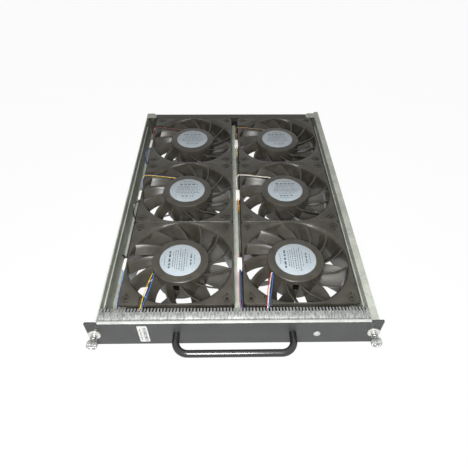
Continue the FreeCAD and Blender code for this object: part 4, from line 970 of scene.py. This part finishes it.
# 1 for what the camera sees, straight or in metal and clear plastic, so the surround is white there
def seenRays(tree):
    rays = addNode(tree, "ShaderNodeLightPath")
    shiny = addNode(tree, "ShaderNodeMath", {"operation": "MAXIMUM"},
                    {0: rays.outputs["Is Camera Ray"], 1: rays.outputs["Is Glossy Ray"]})
    clear = addNode(tree, "ShaderNodeMath", {"operation": "MAXIMUM"},
                    {0: shiny.outputs[0], 1: rays.outputs["Is Transmission Ray"]})
    return clear.outputs[0]


def buildStage():
    bm = bmesh.new()
    bmesh.ops.create_grid(bm, x_segments=1, y_segments=1, size=stage["floor"] / 2)
    mesh = bpy.data.meshes.new("studio_floor_form")
    bm.to_mesh(mesh)
    bm.free()
    floor = bpy.data.objects.new("studio_floor", mesh)
    bpy.context.scene.collection.objects.link(floor)
    floor.location = (0, 0, -stage["floorDrop"])
    material = bpy.data.materials.new("studio_floor_paint")
    material.use_nodes = True
    tree = material.node_tree
    tree.nodes.clear()
    matte = addNode(tree, "ShaderNodeBsdfDiffuse", {"Color": toLinear(stage["floorTone"])})
    glow = addNode(tree, "ShaderNodeEmission", {"Color": (1, 1, 1, 1), "Strength": 1.0})
    share = addNode(tree, "ShaderNodeMath", {"operation": "MULTIPLY", 1: stage["cameraShare"]}, {0: seenRays(tree)})
    mixed = addNode(tree, "ShaderNodeMixShader", {}, {0: share.outputs[0], 1: matte.outputs[0], 2: glow.outputs[0]})
    addNode(tree, "ShaderNodeOutputMaterial", {}, {"Surface": mixed.outputs[0]})
    mesh.materials.append(material)
    world = bpy.data.worlds.new("studio_surround")
    world.use_nodes = True
    bpy.context.scene.world = world
    tree = world.node_tree
    tree.nodes.clear()
    lit = addNode(tree, "ShaderNodeBackground",
                  {"Color": toLinear(stage["worldTone"]), "Strength": stage["worldLight"]})
    white = addNode(tree, "ShaderNodeBackground", {"Color": (1, 1, 1, 1), "Strength": 1.0})
    mixed = addNode(tree, "ShaderNodeMixShader", {}, {0: seenRays(tree), 1: lit.outputs[0], 2: white.outputs[0]})
    addNode(tree, "ShaderNodeOutputWorld", {}, {"Surface": mixed.outputs[0]})


# Most light comes from beside the camera, so it falls off towards the rear
lamps = [dict(name="camera_softbox", place=(-0.035, -0.44, 0.42), aim=(0, -0.06, 0), size=(0.16, 0.16), watts=4.9),
         dict(name="key_softbox", place=(0, -0.16, 1.2), aim=(0, -0.1, 0), size=(0.6, 0.2), watts=1.2),
         dict(name="fill_softbox", place=(0.95, -0.25, 0.75), aim=(0, 0, 0), size=(0.9, 0.9), watts=0.45)]


def hangLamps():
    for lampSetting in lamps:
        light = bpy.data.lights.new(lampSetting["name"], "AREA")
        light.energy = lampSetting["watts"]
        light.shape = "RECTANGLE"
        light.size, light.size_y = lampSetting["size"]
        lampObject = bpy.data.objects.new(lampSetting["name"], light)
        bpy.context.scene.collection.objects.link(lampObject)
        spot = Vector(lampSetting["place"])
        aim = (Vector(lampSetting["aim"]) - spot).to_track_quat("-Z", "Y")
        lampObject.matrix_world = Matrix.Translation(spot) @ aim.to_matrix().to_4x4()


view = dict(place=(-5.62, -403.03, 391.91), turn=(43.671, -0.317, -0.780), lens=31.462, sensor=36.0)


def setCamera():
    data = bpy.data.cameras.new("photo_view")
    data.lens = view["lens"]
    data.sensor_width = view["sensor"]
    data.sensor_fit = "HORIZONTAL"
    data.clip_start = 0.01
    camera = bpy.data.objects.new("photo_view", data)
    bpy.context.scene.collection.objects.link(camera)
    camera.location = [v * mm for v in view["place"]]
    camera.rotation_euler = [math.radians(v) for v in view["turn"]]
    bpy.context.scene.camera = camera


buildStage()
hangLamps()
setCamera()
bpy.context.scene.view_settings.view_transform = "Standard"
print("stage set")
